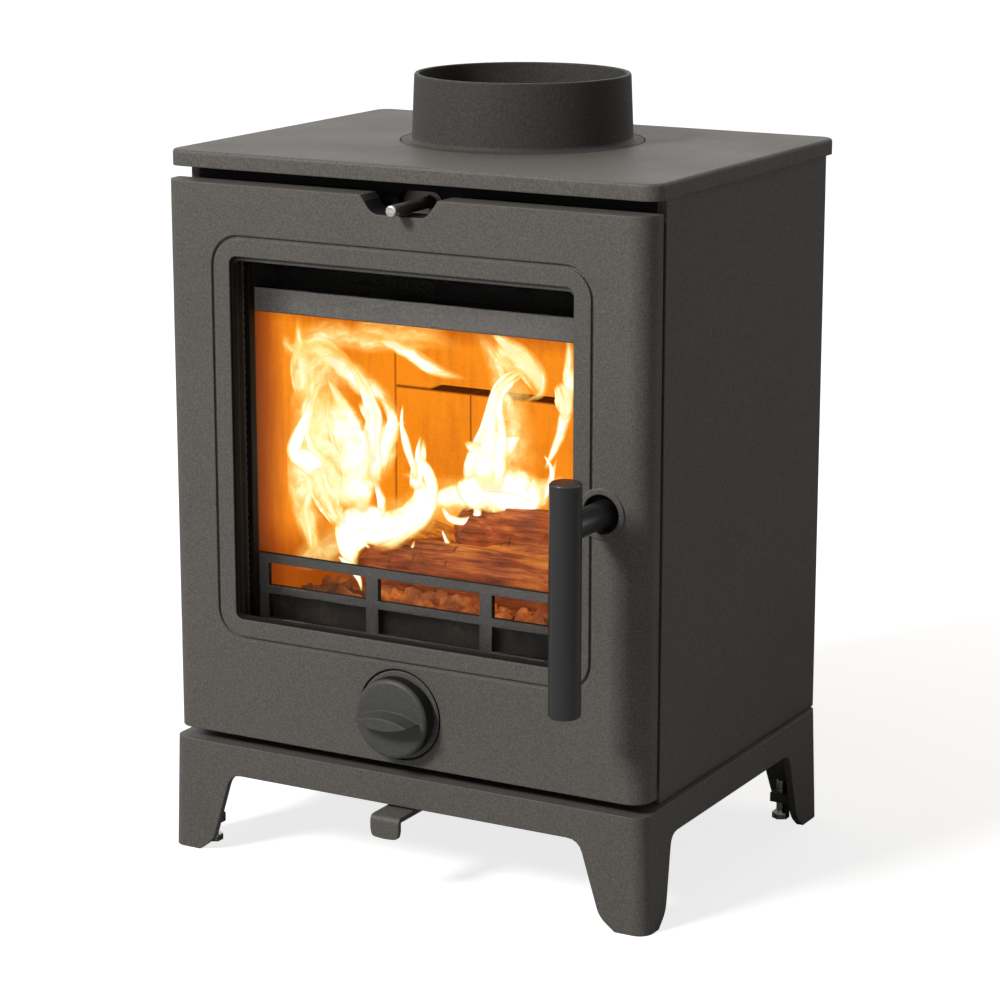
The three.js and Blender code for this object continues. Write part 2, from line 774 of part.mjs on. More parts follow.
// The two ears on the door that the hinge pin passes through, above and below the frame's eye.
function hingeEars(z) {
  const half = hinge.eyeTall / 2 + hinge.play;
  const ears = [
    [z - half - hinge.ear, z - half],
    [z + half, z + half + hinge.ear],
  ].map(([low, high]) =>
    cut(
      join(
        bar("z", [hingeX, hingeY, 0], hinge.eye, low, high, 24),
        block(hingeX - hinge.eye, hingeX + hinge.eye, skinBack - 1, hingeY, low, high),
      ),
      bar("z", [hingeX, hingeY, 0], hinge.pin + CLEAR, low - 1, high + 1),
    ),
  );
  return join(...ears);
}

// The cut in the door's edge that lets the frame's hinge arm through when the door is open.
function hingeRecess(z) {
  const half = hinge.eyeTall / 2 + 1;
  const inner = -doorSide + door.flange + hinge.recessIn;
  return block(-doorSide - PAST, inner, doorFront + hinge.recessSkin, doorBack + PAST, z - half, z + half);
}

function kidney(radiusIn, radiusOut, from, to) {
  const outline = new THREE.Shape();
  outline.absarc(0, knobZ, radiusOut, from, to, false);
  outline.absarc(0, knobZ, radiusIn, to, from, true);
  outline.closePath();
  return outline;
}
const airHoles = (turn, y0, y1) =>
  [0, Math.PI].map((half) => {
    const middle = half + turn;
    const sweep = THREE.MathUtils.degToRad(airHole.sweep) / 2;
    return alongY(kidney(airHole.inner, airHole.outer, middle - sweep, middle + sweep), y0, y1);
  });

function doorCasting() {
  const shell = alongZ(doorPlan(0, doorFront), doorFoot, doorTop);
  const hollow = alongZ(doorPlan(door.flange, skinBack), doorFoot + door.flange, doorTop - door.flange);
  const { step, head } = pane;
  const paneFront = rounded(-paneSide, paneSide, paneFoot, paneTop, pane.cornerR);
  const paneBack = rounded(
    -paneSide + step,
    paneSide - step,
    paneFoot + step,
    paneTop - head,
    pane.cornerR - step,
  );
  const beadLine = (offset) =>
    rounded(
      -paneSide - offset,
      paneSide + offset,
      paneFoot - offset,
      paneTop + offset,
      bead.cornerR + offset - bead.offset,
    );
  const beadCut = frameOutline(
    beadLine(bead.offset + bead.width / 2),
    beadLine(bead.offset - bead.width / 2),
  );
  const bossAt = [handleX, 0, handleZ];
  const knobAt = [0, 0, knobZ];
  const inside = join(
    ropeRing(rope.radius + CLEAR + rope.rib, skinBack - 1, doorBack),
    notchRim(),
    bar("y", bossAt, boss.hubR, skinBack - 1, doorBack, 32),
    bar("y", bossAt, boss.ringR, doorFront - boss.ringRise, skinBack - 1, 40),
    ...clipPlaces().map((at) => bar("y", [at.x, 0, clipZ(at)], clip.boss, skinBack - 1, glassBack, 16)),
    ...hingeHeights.map(hingeEars),
  );
  const bossKeep = bar("y", bossAt, boss.ringR + 0.5, doorFront - 2, doorFront + 2, 40);
  const airRingCut = cut(
    bar("y", knobAt, airRing.radius + airRing.width, doorFront - 1, doorFront + airRing.depth, 48),
    bar("y", knobAt, airRing.radius, doorFront - 2, doorFront + airRing.depth + 1, 48),
  );
  return cut(
    join(cut(shell, hollow), inside),
    ropeRing(rope.radius + CLEAR, ropeSeat, doorBack + 1),
    alongY(paneFront, doorFront - 1, doorFront + pane.stepDepth),
    alongY(paneBack, doorFront - 1, doorBack + 1),
    cut(alongY(beadCut, doorFront - 1, doorFront + bead.depth), bossKeep),
    alongY(notchOutline(0, 2), doorFront - 1, doorBack + 1),
    bar("y", bossAt, boss.holeR, doorFront - 5, doorFront + boss.holeDepth, 40),
    bar("y", bossAt, stem.spindle + CLEAR, doorFront, doorBack + 1, 24),
    airRingCut,
    bar("y", knobAt, shutter.stud + CLEAR, doorFront - 1, skinBack + 1, 16),
    ...airHoles(Math.PI / 2, doorFront - 1, skinBack + 1),
    ...clipPlaces().map((at) => bar("y", [at.x, 0, clipZ(at)], 1.5, skinBack + 1, glassBack + 1, 10)),
    ...hingeHeights.map(hingeRecess),
  );
}

function doorGlass() {
  const side = paneSide + glass.lap;
  const outline = rounded(-side, side, paneFoot - glass.lap, paneTop + glass.lap, 4);
  return alongY(outline, glassFront, glassBack);
}

function glassGasket() {
  const side = paneSide + glass.lap;
  const low = paneFoot - glass.lap;
  const high = paneTop + glass.lap;
  const w = glass.gasketWidth;
  const ring = frameOutline(
    rounded(-side, side, low, high, 4),
    rounded(-side + w, side - w, low + w, high - w, 2),
  );
  return alongY(ring, skinBack + CLEAR / 2, skinBack + glass.gasket + CLEAR / 2);
}

function glassClip(at) {
  const { x, edge, way } = at;
  const z = clipZ(at);
  const far = z + way * clip.boss;
  const near = edge - way * clip.bite;
  const low = Math.min(far, near);
  const high = Math.max(far, near);
  const front = glassBack + CLEAR;
  const tongue = rounded(x - clip.width / 2, x + clip.width / 2, low, high, 2);
  const back = front + clip.thick;
  const head = bar("y", [x, 0, z], clip.screwHead, back - 0.2, back + clip.screwHeadThick, 16);
  const shank = bar("y", [x, 0, z], 1.2, skinBack + 2, front + 1, 10);
  return join(alongY(tongue, front, back), head, shank);
}

// The rope that seals the door against the front frame, one closed loop with a softer crown.
function ropeSeal() {
  const back = bodyFront - CLEAR;
  const shoulder = back - rope.radius;
  return join(
    ropeRing(rope.radius, ropeSeat + CLEAR, shoulder),
    ropeRing(rope.radius * 0.8, shoulder - 1, back - rope.radius * 0.4),
    ropeRing(rope.radius * 0.45, back - rope.radius * 0.4 - 1, back),
  );
}

function hingePin(z) {
  const half = hinge.eyeTall / 2 + hinge.play + hinge.ear;
  const at = [hingeX, hingeY, 0];
  const under = z + half + CLEAR;
  const head = bar("z", at, hinge.headR, under, under + hinge.headThick, 20);
  return join(head, bar("z", at, hinge.pin, z - half - hinge.tail, under + PAST, 20));
}

// ---------------------------------------------------------------- handle and latch
const barY = doorFront - handle.standoff;
const barTop = handleZ + handle.above;

function handleBar() {
  const at = [handleX, barY, 0];
  const round = 1.2;
  const r = handle.barR;
  const low = barTop - handle.length;
  const profile = [
    [0, low],
    [r - round, low],
    [r, low + round],
    [r, barTop - round],
    [r - round, barTop],
    [0, barTop],
  ];
  const lathe = new THREE.LatheGeometry(profile.map(([u, v]) => new THREE.Vector2(u, v)), 40);
  const whole = solid(lathe.rotateX(Math.PI / 2).translate(at[0], at[1], 0));
  const mouthEnd = barY + handle.barR + PAST;
  const seat = mouthEnd - PAST - stem.socket;
  return cut(whole, bar("y", [handleX, 0, handleZ], stem.radius + CLEAR, seat, mouthEnd, 32));
}

function handleStem() {
  const at = [handleX, 0, handleZ];
  const near = barY + handle.barR - stem.socket + CLEAR;
  const shoulder = doorFront + boss.holeDepth - CLEAR;
  const latchBack = doorBack + latch.play + latch.thick;
  return join(
    bar("y", at, stem.radius, near, shoulder, 32),
    bar("y", at, stem.spindle, shoulder - 1, doorBack + latch.play - CLEAR, 24),
    bar("y", at, stem.square, doorBack, latchBack + stem.squareEnd, 4),
  );
}

// The square hole in what the spindle drives.
const squareHole = (y0, y1) => bar("y", [handleX, 0, handleZ], stem.square + CLEAR, y0, y1, 4);

function latchTongue() {
  const front = doorBack + latch.play;
  const half = latch.width / 2;
  const tip = handleX + latch.reach;
  const blade = softPolygon([
    [handleX, handleZ - half],
    [tip, handleZ - half * 0.6, 2],
    [tip, handleZ + half, 3],
    [handleX, handleZ + half],
  ]);
  const hub = bar("y", [handleX, 0, handleZ], latch.hubR, front, front + latch.thick, 24);
  const tongue = join(alongY(blade, front, front + latch.thick), hub);
  return cut(tongue, squareHole(front - 1, front + latch.thick + 1));
}

function latchNut() {
  const front = doorBack + latch.play + latch.thick + CLEAR;
  const hex = hexHead("y", [handleX, 0, handleZ], nut.latch, front, bodyFront - latch.play);
  return cut(hex, squareHole(front - PAST, front + stem.squareEnd + CLEAR * 0.7));
}

const keeperX = handleX + latch.reach + keeper.clear;
function keeperScrewPlaces() {
  const reach = keeper.tall / 2 - keeper.screwIn;
  return [-1, 1].map((s) => [keeperX + keeper.wall - keeper.plate / 2, 0, handleZ + s * reach]);
}

// The catch on the front frame that the latch tongue turns into, with its two screws.
function latchKeeper() {
  const back = bodyFront - CLEAR;
  const right = keeperX + keeper.wall;
  const face = doorBack + latch.play - CLEAR;
  const half = keeper.tall / 2;
  const wallHalf = keeper.wallTall / 2;
  const foot = alongY(
    rounded(right - keeper.plate, right, handleZ - half, handleZ + half, 3),
    back - keeper.thick,
    back,
  );
  const wall = block(keeperX, right, face, back, handleZ - wallHalf, handleZ + wallHalf);
  const noseHalf = wallHalf - 3;
  const nose = block(keeperX, right, face - keeper.nose, face + PAST, handleZ - noseHalf, handleZ + noseHalf);
  const screws = keeperScrewPlaces().map((at) =>
    join(
      bar("y", at, keeper.headR, back - keeper.thick - keeper.headThick, back - keeper.thick + PAST, 16),
      bar("y", at, screw.radius - CLEAR, back - 1, bodyFront + 4, 12),
    ),
  );
  return join(foot, wall, nose, ...screws);
}

// ---------------------------------------------------------------- air control on the door
const knobBack = doorFront - knob.standoff;

function airKnob() {
  const profile = [[0, 0], [knob.radius, 0]];
  const steps = 4;
  for (let i = 0; i <= steps; i++) {
    const angle = (i / steps) * (Math.PI / 2);
    const out = knob.edgeR * (1 - Math.cos(angle));
    profile.push([knob.radius - out, knob.thick - knob.edgeR * (1 - Math.sin(angle))]);
  }
  profile.push([knob.radius * 0.4, knob.thick + 0.6], [0, knob.thick + 0.8]);
  const disc = new THREE.LatheGeometry(profile.map(([u, v]) => new THREE.Vector2(u, v)), 48);
  const dial = solid(disc.rotateX(Math.PI).translate(0, knobBack, knobZ));
  const studEnd = skinBack + CLEAR * 2 + shutter.thick + shutter.studOut;
  const stud = bar("y", [0, 0, knobZ], shutter.stud, knobBack - PAST, studEnd, 20);
  return join(dial, knobGrip(), stud);
}

// The lens-shaped finger grip, a little longer at its root than at its crest.
function knobGrip() {
  const { grip, gripThick, gripRise, thick } = knob;
  const root = lens(grip / 2 + 1.5, gripThick / 2 + 1.2, thick - PAST);
  const neck = lens(grip / 2, gripThick / 2, thick + gripRise - 0.8);
  const crest = lens(grip / 2 - 0.8, gripThick / 2 - 0.6, thick + gripRise);
  return stackOfRings([root, neck, crest]).rotate([90, 0, 0]).translate([0, knobBack, knobZ]);
}

// A ring of points round a pointed oval at one height.
function lens(half, thick, z) {
  const steps = 8;
  const point = (u, way) => new THREE.Vector2(u * half, way * thick * (1 - u * u));
  const share = (i) => (2 * i) / steps - 1;
  const low = Array.from({ length: steps + 1 }, (_, i) => point(share(i), -1));
  const high = Array.from({ length: steps - 1 }, (_, i) => point(-share(i + 1), 1));
  return { z, points: [...low, ...high] };
}

function airShutter() {
  const front = skinBack + CLEAR;
  const disc = bar("y", [0, 0, knobZ], shutter.radius, front, front + shutter.thick, 40);
  return cut(
    disc,
    bar("y", [0, 0, knobZ], shutter.stud + CLEAR, front - 1, front + shutter.thick + 1, 20),
    ...airHoles(0, front - 1, front + shutter.thick + 1),
  );
}

function shutterNut() {
  const front = skinBack + CLEAR + shutter.thick + CLEAR;
  const hex = hexHead("y", [0, 0, knobZ], nut.shutter, front, front + nut.shutterThick);
  const socketEnd = front + shutter.studOut + CLEAR;
  return cut(hex, bar("y", [0, 0, knobZ], shutter.stud + CLEAR, front - PAST, socketEnd, 20));
}

// ---------------------------------------------------------------- airwash over the glass
function airwashSlide() {
  const front = frameBack + CLEAR;
  const half = airSlotX + airSlot.length / 2 + slide.margin;
  const strip = rounded(-half, half + slide.rodAt, slideFoot, slideFoot + slide.height, 3);
  const shift = slide.rodAt + airSlot.shut;
  const windows = [-1, 1].map((s) =>
    airSlotTool(s * airSlotX + shift, front - 1, front + slide.thick + 1),
  );
  const bore = bar("y", [slide.rodAt, 0, rodZ], slide.rodR + CLEAR, front - PAST, front + slide.rodBite, 20);
  return cut(alongY(strip, front, front + slide.thick), ...windows, bore);
}

function airwashRod() {
  const seat = frameBack + slide.rodBite;
  const end = bodyFront - slide.rodOut + slide.tip;
  return bar("y", [slide.rodAt, 0, rodZ], slide.rodR, end, seat, 20);
}

function airwashTip() {
  const end = bodyFront - slide.rodOut;
  const r = slide.rodR;
  const root = slide.tip - CLEAR;
  const profile = [[0, 0], [r - 0.6, 0], [r, 0.6], [r, root], [0, root]];
  const lathe = new THREE.LatheGeometry(profile.map(([u, v]) => new THREE.Vector2(u, v)), 20);
  return solid(lathe.translate(slide.rodAt, end, rodZ));
}

// The sheet channel behind the frame's top bar that turns the air down over the glass.
function airwashDuct() {
  const side = fireSide - CLEAR;
  const front = frameBack + CLEAR;
  const low = plateFoot - duct.drop;
  const back = front + duct.depth;
  const t = duct.sheet;
  const top = bodyTop;
  const profile = softPolygon([
    [front, low + duct.lip],
    [front, low, 2],
    [back, low, 2],
    [back, top - t],
    [back + duct.flange, top - t],
    [back + duct.flange, top],
    [back - t, top],
    [back - t, low + t],
    [front + t, low + t],
    [front + t, low + duct.lip],
  ]);
  const ends = [-1, 1].map((s) =>
    block(s * side, s * (side - t), front, back, low + t / 2, top),
  );
  return join(alongX(profile, -side, side), ...ends);
}

// ---------------------------------------------------------------- firebox lining
function sideBrick(side) {
  const lowTop = hearthZ + firebox.sideRise;
  const profile = new THREE.Shape();
  profile.moveTo(brickFront, hearthZ).lineTo(backBrickBack, hearthZ);
  profile.lineTo(backBrickBack, lowTop).lineTo(brickFront, lowTop + firebox.slope);
  profile.closePath();
  const brick = alongX(profile, fireSide, fireSide + firebox.sideBrick);
  return side > 0 ? brick : mirrorX(brick);
}

function backBricks() {
  const top = hearthZ + backBrick.rise;
  const side = fireSide - CLEAR;
  const half = side * backBrick.share;
  const brick = (x0, x1) => block(x0, x1, backBrickFront, backBrickBack, hearthZ, top);
  place("back_brick_centre", brick(-half, half), fireBrick);
  place("back_brick_left", brick(-side, -half - CLEAR), fireBrick);
  place("back_brick_right", brick(half + CLEAR, side), fireBrick);
  const upper = block(-side, side, backBrickFront, backBrickBack, top + CLEAR, hearthZ + firebox.sideRise);
  const slot = block(
    -fireSide + backBrick.slotEnd,
    fireSide - backBrick.slotEnd,
    backBrickFront - 1,
    backBrickBack + 1,
    top,
    top + CLEAR + backBrick.slotHeight,
  );
  place("back_brick_upper", cut(upper, slot), fireBrick);
}

// The sloping plate over the fire; its front edge leaves the throat to the flue.
function bafflePlate() {
  const rise = firebox.slope / (backBrickBack - brickFront);
  const topAt = (y) => hearthZ + firebox.sideRise + CLEAR * 2 + (backBrickBack - y) * rise;
  const front = frameBack + CLEAR + duct.depth + baffle.throat;
  const back = backBrickBack;
  const profile = new THREE.Shape();
  profile.moveTo(front, topAt(front)).lineTo(back, topAt(back));
  profile.lineTo(back, topAt(back) + baffle.thick).lineTo(front, topAt(front) + baffle.thick);
  profile.closePath();
  const side = fireSide + firebox.sideBrick - 1;
  return alongX(profile, -side, side);
}

// ---------------------------------------------------------------- grate, guard and ash pan
const guardFront = frameBack + guard.off;
const upstandRear = guardFront + guard.thick + grateFrame.upstandBack;
const grateHole = { x: fireSide - grateFrame.band, y0: upstandRear + grateFrame.lip, y1: backBrickFront - 8 };
const riddleSide = grateHole.x - riddle.inset;

function grateFrameRing() {
  const side = sideInner - 2;
  const ring = cut(
    block(-side, side, frameBack + 1, rearInner - 1, grateFrameFoot, grateFrameTop),
    block(-grateHole.x, grateHole.x, grateHole.y0, grateHole.y1, grateFrameFoot - 1, grateFrameTop + 1),
    tieHoles(grateFrameFoot - 1, grateFrameTop + 1),
  );
  const upstand = block(
    -fireSide + 2,
    fireSide - 2,
    upstandRear - grateFrame.upstandThick,
    upstandRear,
    grateFrameTop - 1,
    grateFrameTop + grateFrame.upstand,
  );
  const railX = riddleSide + CLEAR;
  const railFoot = grateFrameFoot - riddle.thick - CLEAR * 3 - riddle.rail;
  const railEnds = [grateHole.y0 - riddle.railEnd, grateHole.y1 + riddle.railEnd];
  const rail = (x0, x1, z0, z1) => block(x0, x1, ...railEnds, z0, z1);
  const rails = [-1, 1].flatMap((s) => [
    rail(s * railX, s * (railX + riddle.rail), railFoot, grateFrameFoot + PAST),
    rail(s * (railX - riddle.lip), s * (railX + riddle.rail), railFoot, railFoot + riddle.rail),
    rail(s * railX, s * (grateHole.x + 2), grateFrameFoot, grateFrameTop - 2),
  ]);
  return join(ring, upstand, ...rails);
}

function gratePlate() {
  const side = grateHole.x + grate.rim - 3;
  const front = grateHole.y0 - 3;
  const back = grateHole.y1 + 5;
  const foot = hearthZ;
  const slab = block(-side, side, front, back, foot, foot + grate.thick);
  return cut(slab, ...grateSlots(side, front, back, foot));
}

function grateSlots(side, front, back, foot) {
  const pitch = grate.slotWidth + grate.barWidth;
  const reach = side - grate.rim;
  const count = Math.floor((back - front - 2 * grate.rim + grate.barWidth) / pitch);
  const first = (front + back) / 2 - ((count - 1) * pitch) / 2;
  const slots = [];
  for (let row = 0; row < count; row++) {
    const y = first + row * pitch;
    for (const s of [-1, 1]) {
      const near = y - grate.slotWidth / 2;
      const top = foot + grate.thick + PAST;
      slots.push(block((s * grate.spine) / 2, s * reach, near, near + grate.slotWidth, foot - PAST, top));
    }
  }
  return slots;
}

// The fire fence across the front of the grate: two rails on posts, with three bays.
function logGuard() {
  const side = fireSide - guard.play;
  const front = guardFront;
  const foot = hearthZ;
  const top = foot + guard.height;
  const bay = (2 * side - guard.post * (guard.bays + 1)) / guard.bays;
  const plateShape = block(-side, side, front, front + guard.thick, foot, top);
  const windows = [];
  for (let i = 0; i < guard.bays; i++) {
    const x0 = -side + guard.post + i * (bay + guard.post);
    const highTop = top - guard.rail;
    const lowTop = highTop - guard.gap - guard.lowRail;
    windows.push(block(x0, x0 + bay, front - 1, front + guard.thick + 1, highTop - guard.gap, highTop));
    windows.push(block(x0, x0 + bay, front - 1, front + guard.thick + 1, foot + 3, lowTop));
  }
  return cut(plateShape, ...windows);
}

function ashPanTray() {
  const side = mouthSide - ashPan.play;
  const front = frameBack + 2;
  const foot = mouthFoot + CLEAR;
  const t = ashPan.wall;
  const top = foot + ashPan.height;
  const tray = cut(
    block(-side, side, front, front + ashPan.depth, foot, top),
    block(-side + t, side - t, front + t, front + ashPan.depth - t, foot + t, top + 1),
  );
  const { pull, pullOut, pullThick } = ashPan;
  const loopTop = top - 5;
  const loopFoot = loopTop - pullThick;
  const outer = rounded(-pull, pull, front - pullOut, front + 1, 0.9);
  const inner = rounded(-pull + 4, pull - 4, front - pullOut + 4, front - 0.5, 0.9);
  const loop = cut(alongZ(outer, loopFoot, loopTop), alongZ(inner, loopFoot - 1, loopTop + 1));
  return join(tray, loop);
}

// ---------------------------------------------------------------- firewood
// A split log along X: a lumpy prism with a bark side and a cleft one, turned and tilted on the grate.
function splitLog({ x, y, rest, radius, length, yaw, tilt, split }) {
  const rings = Array.from({ length: wood.rings + 1 }, (_, i) => {
    const share = i / wood.rings;
    const swell = 1 + wood.swell * Math.sin(share * 7 + split * 3);
    const end = i === 0 || i === wood.rings ? wood.endShare : 1;
    const points = Array.from({ length: wood.sides }, (_, k) => {
      const angle = (k / wood.sides) * 2 * Math.PI;
      const bark = 1 - wood.cleft * Math.max(0, Math.cos(angle - split));
      const r = radius * swell * end * bark;
      return new THREE.Vector2(r * Math.cos(angle), r * Math.sin(angle));
    });
    return { z: (share - 0.5) * length, points };
  });
  const lying = stackOfRings(rings).rotate([0, 90, 0]).rotate([0, tilt, yaw]);
  const { min } = lying.boundingBox();
  return lying.translate([x, y, rest - min[2]]);
}

// ---------------------------------------------------------------- riddling gear
const riddleFoot = grateFrameFoot - CLEAR * 2 - riddle.thick;
const flapFront = uprightFront + lever.thick + CLEAR;

function riddlePlate() {
  const half = riddleSide;
  const back = flapFront + riddle.thick;
  const front = back - riddle.depth;
  const slab = block(-half, half, front, back, riddleFoot, riddleFoot + riddle.thick);
  const pitch = grate.slotWidth + grate.barWidth;
  const slots = [];
  const top = riddleFoot + riddle.thick + PAST;
  for (let y = front + riddle.rim; y + grate.slotWidth + riddle.rim < back; y += pitch) {
    for (const s of [-1, 1]) {
      slots.push(
        block(s * riddle.rim, s * (half - riddle.rim), y, y + grate.slotWidth, riddleFoot - PAST, top),
      );
    }
  }
  const flapSide = riddle.flapWidth / 2;
  const flapFoot = riddleFoot - riddle.flap;
  const flap = block(-flapSide, flapSide, flapFront, flapFront + riddle.thick, flapFoot, riddleFoot + PAST);
  const bolt = bar("y", riddleBoltAt, screw.radius + CLEAR, flapFront - 1, flapFront + riddle.thick + 1, 12);
  return cut(join(cut(slab, ...slots), flap), bolt);
}
const riddleBoltAt = [0, 0, riddleFoot - riddle.flap / 2];

// One flat bar: the finger tab bent down in front, the run under the base and the upright to the grate.
function riddlingLever() {
  const half = lever.width / 2;
  const t = lever.thick;
  const tab = leverTop - lever.tab;
  const front = leverFront;
  const side = softPolygon([
    [front, tab],
    [front, leverTop, lever.bendR],
    [uprightFront, leverTop, 1],
    [uprightFront, riddleFoot - CLEAR],
    [uprightFront + t, riddleFoot - CLEAR],
    [uprightFront + t, leverFoot, lever.bendR],
    [front + t, leverFoot, 1],
    [front + t, tab],
  ]);
  const strap = alongX(side, -half, half);
  const bottomCurve = softPolygon([
    [-half - 1, tab - 1],
    [half + 1, tab - 1],
    [half + 1, tab + lever.round],
    [half, tab + lever.round],
    [half - 1, tab + 1.2, 2],
    [0, tab, 6],
    [-half + 1, tab + 1.2, 2],
    [-half, tab + lever.round],
    [-half - 1, tab + lever.round],
  ]);
  const trim = alongY(bottomCurve, front - 2, front + t + 2);
  const back = uprightFront + t + PAST;
  return cut(strap, trim, bar("y", riddleBoltAt, screw.radius + CLEAR, uprightFront - PAST, back, 12));
}

function riddleBolt() {
  const front = uprightFront - CLEAR;
  const back = flapFront + riddle.thick + CLEAR;
  return join(
    hexHead("y", riddleBoltAt, nut.riddle, front - screw.headThick, front),
    bar("y", riddleBoltAt, screw.radius, front - 1, back + 4, 12),
  );
}

function riddleNut() {
  const front = flapFront + riddle.thick + CLEAR;
  const hex = hexHead("y", riddleBoltAt, nut.riddle, front, front + nut.riddleThick);
  const back = front + nut.riddleThick + PAST;
  return cut(hex, bar("y", riddleBoltAt, screw.radius + CLEAR, front - PAST, back, 12));
}

// The stirrup under the base that carries the lever's run.
function leverStirrup() {
  const y = baseFront + leverGuide.at;
  const half = lever.width / 2 + CLEAR * 2;
  const t = leverGuide.thick;
  const top = base.height - base.wall - CLEAR;
  const foot = leverFoot - CLEAR * 2 - t;
  const ear = half + t + leverGuide.ear;
  const rightHalf = [
    [half + t, foot],
    [half + t, top - t],
    [ear, top - t],
    [ear, top],
    [half, top],
    [half, foot + t],
  ];
  const leftHalf = rightHalf.map(([x, z]) => [-x, z]).reverse();
  return alongY(softPolygon([...rightHalf, ...leftHalf]), y - leverGuide.width / 2, y + leverGuide.width / 2);
}

// ---------------------------------------------------------------- assembly
place("base_frame", baseFrame(), paintedIron);
corners.forEach(([name, side, rear]) => {
  place("levelling_bolt_" + name, levellingBolt(side, rear), brightSteel);
  place("tie_bolt_" + name, tieBolt(side, rear), sheetSteel);
});
place("side_panel_left", sidePanel(-1), paintedIron);
place("side_panel_right", sidePanel(1), paintedIron);
place("rear_panel", rearPanel(), paintedIron);
place("floor_plate", floorPlate(), bareIron);
place("front_frame", frontFrame(), paintedDark);
place("top_plate", topPlate(), paintedIron);
place("flue_collar", flueCollar(), paintedDark);
collarBoltPlaces().forEach((at, i) => place("collar_bolt_" + (i + 1), collarBolt(at), sheetSteel));

place("door_casting", doorCasting(), paintedIron);
place("door_glass", doorGlass(), clearGlass);
place("glass_gasket", glassGasket(), ropeGrey);
clipPlaces().forEach((at, i) => place("glass_clip_" + (i + 1), glassClip(at), sheetSteel));
place("door_rope_seal", ropeSeal(), ropeGrey);
place("hinge_pin_lower", hingePin(hingeHeights[0]), brightSteel);
place("hinge_pin_upper", hingePin(hingeHeights[1]), brightSteel);

place("handle_bar", handleBar(), satinBar);
place("handle_stem", handleStem(), satinBar);
place("latch_tongue", latchTongue(), sheetSteel);
place("latch_nut", latchNut(), sheetSteel);
place("latch_keeper", latchKeeper(), sheetSteel);

place("air_knob", airKnob(), satinBar);
place("air_shutter", airShutter(), sheetSteel);
place("air_shutter_nut", shutterNut(), sheetSteel);

place("airwash_slide", airwashSlide(), sheetSteel);
place("airwash_rod", airwashRod(), bareIron);
place("airwash_tip", airwashTip(), brightSteel);
place("airwash_duct", airwashDuct(), paintedIron);

place("side_brick_left", sideBrick(-1), fireBrick);
place("side_brick_right", sideBrick(1), fireBrick);
backBricks();
place("baffle_plate", bafflePlate(), fireBrick);

place("grate_frame", grateFrameRing(), bareIron);
place("grate", gratePlate(), bareIron);
place("log_guard", logGuard(), paintedDark);
place("ash_pan", ashPanTray(), sheetSteel);

const grateTop = hearthZ + grate.thick;
Object.entries(logs).forEach(([name, log]) =>
  place("log_" + name, splitLog({ ...log, rest: grateTop + wood.rest + log.rest }), charredWood),
);

place("riddle_plate", riddlePlate(), bareIron);
place("riddling_lever", riddlingLever(), paintedIron);
place("riddle_bolt", riddleBolt(), sheetSteel);
place("riddle_nut", riddleNut(), sheetSteel);
place("lever_stirrup", leverStirrup(), bareIron);

export default stove;
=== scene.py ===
"""A small cast box stove with a lit fire behind its glass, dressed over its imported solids.

Each part of it is a class: the castings and the lining, the door's seal, the fire and the studio.
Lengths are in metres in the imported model's own frame: +Z up, -Y towards the door.
"""

from __future__ import annotations

import json
import logging
import math
from dataclasses import dataclass, field, replace
from enum import Enum
from typing import Protocol, Sequence

import bmesh
import bpy
from mathutils import Euler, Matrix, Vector, noise

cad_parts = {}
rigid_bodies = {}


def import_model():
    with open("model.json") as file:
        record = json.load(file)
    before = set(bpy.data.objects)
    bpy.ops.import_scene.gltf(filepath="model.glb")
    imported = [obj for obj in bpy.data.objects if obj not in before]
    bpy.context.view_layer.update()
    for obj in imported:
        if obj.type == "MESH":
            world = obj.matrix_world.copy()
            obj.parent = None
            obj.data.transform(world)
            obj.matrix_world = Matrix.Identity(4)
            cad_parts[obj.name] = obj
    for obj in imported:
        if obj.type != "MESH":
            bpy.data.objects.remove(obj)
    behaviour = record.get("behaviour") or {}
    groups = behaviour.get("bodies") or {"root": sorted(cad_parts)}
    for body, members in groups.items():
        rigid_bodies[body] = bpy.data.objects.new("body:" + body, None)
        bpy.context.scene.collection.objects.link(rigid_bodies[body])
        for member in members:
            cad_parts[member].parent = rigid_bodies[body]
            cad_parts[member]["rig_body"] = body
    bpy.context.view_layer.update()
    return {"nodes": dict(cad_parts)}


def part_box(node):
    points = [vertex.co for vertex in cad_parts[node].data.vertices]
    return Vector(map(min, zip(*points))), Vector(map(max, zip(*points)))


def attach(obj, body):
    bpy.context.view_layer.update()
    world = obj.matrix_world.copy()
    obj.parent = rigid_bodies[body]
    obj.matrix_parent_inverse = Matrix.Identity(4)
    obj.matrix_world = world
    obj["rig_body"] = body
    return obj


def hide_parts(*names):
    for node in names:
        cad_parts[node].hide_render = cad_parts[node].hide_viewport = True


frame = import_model()

LOG = logging.getLogger("stove")
MM = 0.001

Triple = tuple[float, float, float]
Colour = Triple
Socket = bpy.types.NodeSocket
Node = bpy.types.Node
SocketList = Sequence[tuple[str, str, object]]

FLAME_VALUES = ("warmth", "rim", "share")

BLACK: Colour = (0.0, 0.0, 0.0)
WHITE: Colour = (1.0, 1.0, 1.0)


class Body(str, Enum):
    """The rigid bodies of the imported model."""

    STOVE = "stove_body"
    DOOR = "door"
    HANDLE = "handle"
    AIR = "air_control"
    AIRWASH = "airwash_control"
    RIDDLE = "riddling_gear"


class Coat(Enum):
    """The kinds of surface a CAD node can be given."""

    PAINT = "paint"
    PAINT_DOOR = "paint_door"
    PAINT_GUARD = "paint_guard"
    PAINT_DUCT = "paint_duct"
    PAINT_SHADED = "paint_dark"
    PAINT_SOOT_AND_SHADE = "paint_black"
    POWDER = "powder"
    KNOB = "knob"
    BRIGHT = "bright"
    SHEET = "sheet"
    BARE = "bare"
    BRICK = "brick"
    GLASS = "glass"


